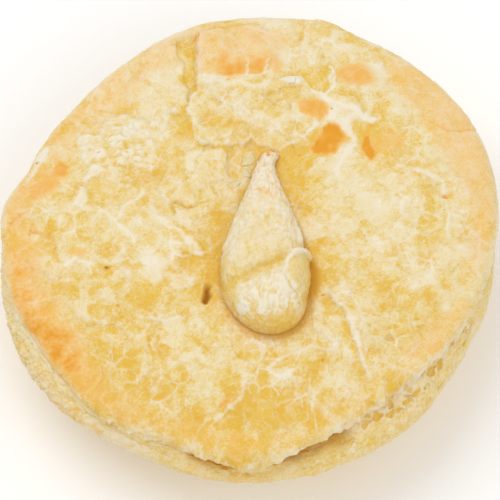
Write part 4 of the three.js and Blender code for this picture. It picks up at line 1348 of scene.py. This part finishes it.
def shape_drop(form):
    """Smooth teardrop: rows across its midline, arched over a flat underside."""
    share = (1 - np.cos(math.pi * np.arange(1, DROP_ROWS) / DROP_ROWS)) / 2
    across = -np.cos(math.pi * np.arange(DROP_COLUMNS + 1) / DROP_COLUMNS)
    half = drop_half_width(form, share)
    middle_x, middle_y = drop_midline(form, share)
    notch = sum(depth * hill(middle_y, at, spread) for at, spread, depth in DROP_NOTCHES)
    nib = DROP_NIB * hill(share, DROP_NIB_SHARE, DROP_NIB_SHARE)
    right = np.maximum(across, 0)
    x = middle_x[:, None] + np.outer(half, across)
    x = x - np.outer(notch, right ** 3) + np.outer(nib, right ** 2)
    y = np.broadcast_to(middle_y[:, None], x.shape)
    bulk = half / form.drop_half_width
    crest = blend(DROP_TIP_TALL, form.drop_tall, bulk) * np.minimum(1, bulk / DROP_TIP_SHARE)
    section = np.sqrt(np.maximum(0, 1 - np.abs(across) ** DROP_ROUND))
    dent = DROP_DENT[-1] * np.exp(-oval_share(x, y, *DROP_DENT[:-1]))
    flap = DROP_FLAP[-1] * np.exp(-oval_share(x, y, *DROP_FLAP[:-1]) ** 2)
    seat = SEAT_HEIGHT + SEAM_GAP
    z = seat + section[None, :] * (crest[:, None] - dent + flap)
    points = np.stack((x, y, z), axis=-1).reshape(-1, 3)
    grid = np.arange(len(points)).reshape(x.shape)
    top = (grid[1:, :-1], grid[1:, 1:], grid[:-1, 1:], grid[:-1, :-1])
    under = (grid[1:, -1], grid[1:, 0], grid[:-1, 0], grid[:-1, -1])
    tip, end = len(points), len(points) + 1
    ends = np.array([(*drop_midline(form, 0.0), seat), (*drop_midline(form, 1.0), seat)])
    faces = np.concatenate((
        np.stack(top, axis=-1).reshape(-1, 4), np.stack(under, axis=-1),
        fan_faces(grid[0], tip, False), fan_faces(grid[-1], end, True),
    ))
    return Crust(np.concatenate((points, ends)), faces)


def bake_drop(crust, form):
    """Relief and tones of the teardrop: floury on top, golden down its front and sides, partly painted
    shade, with painted shade along its foot and under its nib, and browned at the tip.
    """
    x, y, z = crust.points.T
    height = np.clip((z - SEAT_HEIGHT - SEAM_GAP) / form.drop_tall, 0, 1)
    ragged = warped(crust.points, 201, ((3.0, 0.4), (0.9, 0.2)))
    streaks = layered(crust.points * (2.2, 0.5, 1), 2.0, 215)

    crust.add("pale", 0.42 + 0.4 * layered(crust.points, 5, 203) + 0.25 * noise(crust.points, 0.9, 204))
    crust.add("pale", 0.4 * streaks)
    crust.add("butter", 0.34 + 0.36 * layered(crust.points, 6, 205))
    crust.rise += 0.12 * streaks + 0.08 * noise(crust.points, 0.8, 217)
    crust.leaves(ragged, 9, 0.25, 207, pale=0.25, butter=0.25)
    crust.leaves(ragged, 3.2, 0.1, 209, pale=0.15, butter=0.15)

    # Golden sides: the pastry's own colour on the left, partly painted shade along the front and the
    # right side
    right = smoothstep(x, 12.0, 15) * smoothstep(-y, 4, 12)
    left = smoothstep(-x, 0.5, 4.5) * smoothstep(-y, 9, 17)
    flank_gold_and_shade = np.clip(smoothstep(-y, 21.0, 28) + right + 0.7 * left, 0, 1)
    crust.add("butter", 0.62 * flank_gold_and_shade)
    crust.tones["pale"] *= 1 - 0.8 * flank_gold_and_shade
    for feature in DROP_FEATURES:
        crust.lay(feature, ragged)
    floury = np.exp(-oval_share(x, y, *DROP_FLOUR))
    fleck = smoothstep(noise(crust.points * (1.3, 0.7, 1), 1.3, 211), 0.0, 0.3) * floury
    crust.add("pale", 1.1 * fleck)
    crust.rise += 0.08 * fleck

    cone = smoothstep(y, -1, 7)
    crust.add("pale", 0.15 * cone + 0.2 * smoothstep(y, 6, 15))
    crust.add("butter", -0.15 * cone)
    crust.add("brown", (0.16 + 0.5 * noise(crust.points, 1.0, 213)) * cone)
    crust.add("brown", 0.5 * smoothstep(y, 17.6, 19.8))
    # Painted shadow of the fold under the nib
    away = np.hypot(x - DROP_NIB_SHADOW[0], (y - DROP_NIB_SHADOW[1]) * 1.5)
    crust.add("shade", 1.1 * hill(away, 0, 0.5))
    # Painted shade along the foot, deeper on the lower right, and painted golden shade low down
    under = smoothstep(x - 0.5 * y, 2, 16)
    crust.add("shade", (0.1 + 0.3 * under) * (1 - smoothstep(height, 0.02, 0.2)))
    crust.add("butter", 0.5 * (1 - smoothstep(height, 0.1, 0.5)))
    crust.rise *= smoothstep(height, 0.0, 0.12)
    crust.clip()


# Materials
def put(tree, kind, **settings):
    """Adds a node and sets its properties."""
    node = tree.nodes.new(kind)
    for name, value in settings.items():
        setattr(node, name, value)
    return node


def feed(tree, socket, value):
    """Links an output to an input, or sets the input to a number or a colour."""
    if isinstance(value, bpy.types.NodeSocket):
        tree.links.new(value, socket)
    else:
        socket.default_value = (*value, 1.0) if socket.type == "RGBA" else value


def mixed(tree, first, second, share):
    """Mix of two colours: each is a colour or an output, and the share is an output."""
    node = put(tree, "ShaderNodeMix", data_type="RGBA")
    feed(tree, node.inputs[6], first)
    feed(tree, node.inputs[7], second)
    tree.links.new(share, node.inputs[0])
    return node.outputs[2]


def reckoned(tree, operation, first, second, clamp=True):
    """Result of a sum on two values, kept from 0 to 1 by the clamp: each is a number or an output."""
    node = put(tree, "ShaderNodeMath", operation=operation, use_clamp=clamp)
    feed(tree, node.inputs[0], first)
    feed(tree, node.inputs[1], second)
    return node.outputs[0]


def texture(tree, kind, place, size, **inputs):
    """Texture with lumps or cells of this size in metres."""
    node = put(tree, kind)
    for name, value in {"Scale": 1 / size, **inputs}.items():
        node.inputs[name].default_value = value
    tree.links.new(place, node.inputs["Vector"])
    return node


def round_zero(tree, value, strength):
    """Value from 0 to 1 made to run from minus this strength to plus this strength."""
    node = put(tree, "ShaderNodeMath", operation="MULTIPLY_ADD")
    node.inputs[1].default_value = 2 * strength
    node.inputs[2].default_value = -strength
    tree.links.new(value, node.inputs[0])
    return node.outputs[0]


def speckle(tree, place, size, detail, strength):
    """Fine noise round 0 of this strength, with lumps of this size in metres."""
    lumps = texture(tree, "ShaderNodeTexNoise", place, size, Detail=detail, Roughness=0.6)
    return round_zero(tree, lumps.outputs["Fac"], strength)


def between(tree, value, low, high, ends=(0.0, 1.0), kind="SMOOTHSTEP"):
    """Step of a value from one end at low to the other at high."""
    node = put(tree, "ShaderNodeMapRange", interpolation_type=kind)
    for name, setting in zip(("From Min", "From Max", "To Min", "To Max"), (low, high, *ends)):
        node.inputs[name].default_value = setting
    tree.links.new(value, node.inputs["Value"])
    return node.outputs["Result"]


def bent(tree, place, size, amount):
    """Place pushed about by noise, so that what is laid on it gets ragged edges."""
    lumps = texture(tree, "ShaderNodeTexNoise", place, size, Detail=3)
    push = put(tree, "ShaderNodeVectorMath", operation="MULTIPLY_ADD")
    push.inputs[1].default_value = (amount, amount, amount)
    tree.links.new(lumps.outputs["Color"], push.inputs[0])
    tree.links.new(place, push.inputs[2])
    return push.outputs[0]


def creases(tree, place, size, width, strength):
    """Thin broken lines between plates of this size in metres."""
    edges = texture(tree, "ShaderNodeTexVoronoi", place, size)
    edges.feature = "DISTANCE_TO_EDGE"
    lines = between(tree, edges.outputs["Distance"], 0.2 * width / size, width / size, (strength, 0.0))
    broken = between(tree, speckle(tree, place, 2.5 * size, 2, 1.0), 0.0, 0.3)
    return reckoned(tree, "MULTIPLY", lines, broken)


def plates(tree, place, size, strength):
    """Flat tone round 0 of each angular plate of this size in metres."""
    flat = texture(tree, "ShaderNodeTexVoronoi", place, size)
    return round_zero(tree, flat.outputs["Color"], strength)


def pastry_material(colours, name, roughness, grain, plated):
    """Baked pastry whose colour follows the tones of its points, with ragged edges and a fine grain."""
    material = bpy.data.materials.new(name)
    material.use_nodes = True
    tree = material.node_tree
    shader = tree.nodes["Principled BSDF"]
    place = put(tree, "ShaderNodeTexCoord").outputs["Object"]
    tones = {tone: put(tree, "ShaderNodeAttribute", attribute_name=tone).outputs["Fac"] for tone in TONES}
    ragged = bent(tree, place, 1.6 * MM, 1.6 * MM)
    angular = bent(tree, place, 4.0 * MM, 2.6 * MM)
    fine = speckle(tree, place, 0.5 * MM, 2, 1.3 * grain)
    coarse = speckle(tree, ragged, 2.4 * MM, 3, 0.35 * grain)
    flour = speckle(tree, ragged, 0.9 * MM, 3, 0.5 * grain)
    mottle = speckle(tree, place, 0.9 * MM, 3, 1.2 * grain)
    small = plates(tree, bent(tree, angular, 0.7 * MM, 1.0 * MM), 2.1 * MM, 0.32 * plated)

    butter = reckoned(tree, "SUBTRACT", tones["butter"], fine, clamp=False)
    butter = reckoned(tree, "ADD", butter, coarse, clamp=False)
    butter = reckoned(tree, "ADD", butter, small, clamp=False)
    pale = reckoned(tree, "ADD", tones["pale"], flour)
    pale = reckoned(tree, "SUBTRACT", pale, reckoned(tree, "MULTIPLY", small, 0.3, clamp=False))
    for size, width, strength in CREASES:
        lines = creases(tree, angular, size * MM, width * MM, strength * plated)
        pale = reckoned(tree, "ADD", pale, lines)
    brown = reckoned(tree, "ADD", tones["brown"], reckoned(tree, "MULTIPLY", tones["brown"], mottle))
    browned = mixed(tree, colours.orange, colours.deep, reckoned(tree, "POWER", tones["brown"], 3.0))

    base = mixed(tree, colours.cream, colours.gold, between(tree, butter, 0.0, 1.0, kind="LINEAR"))
    base = mixed(tree, base, colours.syrup, between(tree, butter, 0.75, 1.6, kind="LINEAR"))
    base = mixed(tree, base, colours.pale, between(tree, pale, 0.0, 1.1, kind="LINEAR"))
    base = mixed(tree, base, browned, between(tree, brown, 0.0, 0.92))
    # Painted shade: amber as the shade tone rises, then the darkest colour above 1, for the deepest
    # painted shade and for dark specks
    base = mixed(tree, base, colours.amber, between(tree, tones["shade"], 0.0, 1.0, kind="LINEAR"))
    base = mixed(tree, base, colours.specks_and_deep_shade, between(tree, tones["shade"], 1.0, 1.5, kind="LINEAR"))
    tree.links.new(base, shader.inputs["Base Color"])

    bump = put(tree, "ShaderNodeBump")
    bump.inputs["Strength"].default_value = 0.3
    bump.inputs["Distance"].default_value = 0.2 * MM
    height = reckoned(tree, "ADD", pale, reckoned(tree, "MULTIPLY", fine, 0.5))
    tree.links.new(height, bump.inputs["Height"])
    tree.links.new(bump.outputs["Normal"], shader.inputs["Normal"])
    shader.inputs["Roughness"].default_value = roughness
    shader.inputs["Specular IOR Level"].default_value = 0.25
    shader.inputs["Subsurface Weight"].default_value = 0.12
    shader.inputs["Subsurface Radius"].default_value = (1.0, 0.6, 0.25)
    shader.inputs["Subsurface Scale"].default_value = 1.2 * MM
    return material


class PIE_OT_case(bpy.types.Operator):
    """Bake the pastry case with its sloping wall and rolled rim"""

    bl_idname = "pie.case"
    bl_label = "Pastry Case"

    def execute(self, context):
        form = read_form(context.scene)
        crust = shape_case(form)
        bake_case(crust, form)
        crust.swell()
        add_piece(context.scene, form, "case_skin", crust, "base_crust")
        return {"FINISHED"}


class PIE_OT_layers(bpy.types.Operator):
    """Fill the seam under the lid's edge with thin torn layers"""

    bl_idname = "pie.layers"
    bl_label = "Torn Layers"

    def execute(self, context):
        form = read_form(context.scene)
        crust = shape_layers(form)
        bake_layers(crust)
        crust.swell()
        add_piece(context.scene, form, "seam_layers", crust)
        return {"FINISHED"}


class PIE_OT_lid(bpy.types.Operator):
    """Bake the torn and browned puff pastry lid"""

    bl_idname = "pie.lid"
    bl_label = "Flaky Lid"

    def execute(self, context):
        form = read_form(context.scene)
        crust = shape_lid(form)
        bake_lid(crust, form)
        crust.swell()
        add_piece(context.scene, form, "lid_skin", crust, "lid_crust")
        return {"FINISHED"}


class PIE_OT_flakes(bpy.types.Operator):
    """Scatter thin loose flakes over the lid"""

    bl_idname = "pie.flakes"
    bl_label = "Loose Flakes"

    def execute(self, context):
        form = read_form(context.scene)
        crust, free, below = shape_flakes(form)
        bake_flakes(crust, form, free, below)
        add_piece(context.scene, form, "lid_flakes", crust)
        return {"FINISHED"}


class PIE_OT_teardrop(bpy.types.Operator):
    """Shape the floury pastry teardrop on the lid"""

    bl_idname = "pie.teardrop"
    bl_label = "Pastry Teardrop"

    def execute(self, context):
        form = read_form(context.scene)
        crust = shape_drop(form)
        bake_drop(crust, form)
        crust.swell()
        add_piece(context.scene, form, "drop_skin", crust, "pastry_drop")
        return {"FINISHED"}


# Stage
def add_lamp(name, place, size, power):
    """Square soft lamp that faces the pie."""
    light = bpy.data.lights.new(name, "AREA")
    light.size = size
    light.energy = power
    lamp = bpy.data.objects.new(name, light)
    lamp.location = place
    x, y, z = place
    lamp.rotation_euler = (math.atan2(math.hypot(x, y), z), 0, math.atan2(y, x) + math.pi / 2)
    bpy.context.scene.collection.objects.link(lamp)


def add_floor(paint):
    """Plain floor under the pie."""
    half = FLOOR_SIZE / 2
    corners = [(-half, -half, 0), (half, -half, 0), (half, half, 0), (-half, half, 0)]
    mesh = bpy.data.meshes.new("floor")
    mesh.from_pydata(corners, [], [(0, 1, 2, 3)])
    material = bpy.data.materials.new("floor")
    material.use_nodes = True
    shader = material.node_tree.nodes["Principled BSDF"]
    shader.inputs["Base Color"].default_value = (*paint, 1.0)
    shader.inputs["Roughness"].default_value = 0.9
    mesh.materials.append(material)
    floor = bpy.data.objects.new("floor", mesh)
    bpy.context.scene.collection.objects.link(floor)


def add_camera(scene, middle):
    """Camera at the photo's height, in front of the pie."""
    lens = bpy.data.cameras.new("camera")
    lens.sensor_width = SENSOR
    lens.lens = SENSOR * VIEW_DISTANCE / VIEW_WIDTH
    lens.clip_end = VIEW_END
    camera = bpy.data.objects.new("camera", lens)
    tilt = math.radians(VIEW_HEIGHT)
    back = np.array((0, -math.cos(tilt), math.sin(tilt))) * VIEW_DISTANCE
    camera.location = (np.array(VIEW_TARGET) - middle + back) * MM
    camera.rotation_euler = (math.pi / 2 - tilt, 0, 0)
    scene.collection.objects.link(camera)
    scene.camera = camera


class PIE_OT_stage(bpy.types.Operator):
    """Set up the floor, the soft light and the camera"""

    bl_idname = "pie.stage"
    bl_label = "Stage"

    def execute(self, context):
        scene = context.scene
        add_floor(scene.pie_colours.floor)
        for name, place, size, power in LAMPS:
            add_lamp(name, place, size, power)
        world = bpy.data.worlds.new("soft_sky")
        world.use_nodes = True
        sky = world.node_tree.nodes["Background"]
        sky.inputs["Color"].default_value = (1, 1, 1, 1)
        sky.inputs["Strength"].default_value = SKY_STRENGTH
        scene.world = world
        add_camera(scene, read_form(scene).middle)
        scene.view_settings.view_transform = "Standard"
        return {"FINISHED"}


class PIE_PT_maker(bpy.types.Panel):
    """Sizes, colours and pieces of the pie"""

    bl_label = "Steak Pie"
    bl_idname = "PIE_PT_maker"
    bl_space_type = "VIEW_3D"
    bl_region_type = "UI"
    bl_category = "Pie"

    def draw(self, context):
        for group, keys in ((context.scene.pie_sizes, PieSizes), (context.scene.pie_colours, PieColours)):
            column = self.layout.column()
            for key in keys.__annotations__:
                column.prop(group, key)
        for operator in OPERATORS:
            self.layout.operator(operator.bl_idname)


OPERATORS = (PIE_OT_stage, PIE_OT_case, PIE_OT_layers, PIE_OT_lid, PIE_OT_flakes, PIE_OT_teardrop)
CLASSES = (PieSizes, PieColours) + OPERATORS + (PIE_PT_maker,)


def register():
    """Registers the classes and hangs the sizes and colours on the scene."""
    for entry in CLASSES:
        bpy.utils.register_class(entry)
    bpy.types.Scene.pie_sizes = bpy.props.PointerProperty(type=PieSizes)
    bpy.types.Scene.pie_colours = bpy.props.PointerProperty(type=PieColours)


def unregister():
    """Takes the sizes, the colours and the classes away again."""
    del bpy.types.Scene.pie_colours
    del bpy.types.Scene.pie_sizes
    for entry in reversed(CLASSES):
        bpy.utils.unregister_class(entry)


def main():
    """Makes the stage and every piece."""
    register()
    bpy.ops.pie.stage()
    bpy.ops.pie.case()
    bpy.ops.pie.layers()
    bpy.ops.pie.lid()
    bpy.ops.pie.flakes()
    bpy.ops.pie.teardrop()


if __name__ == "__main__":
    main()
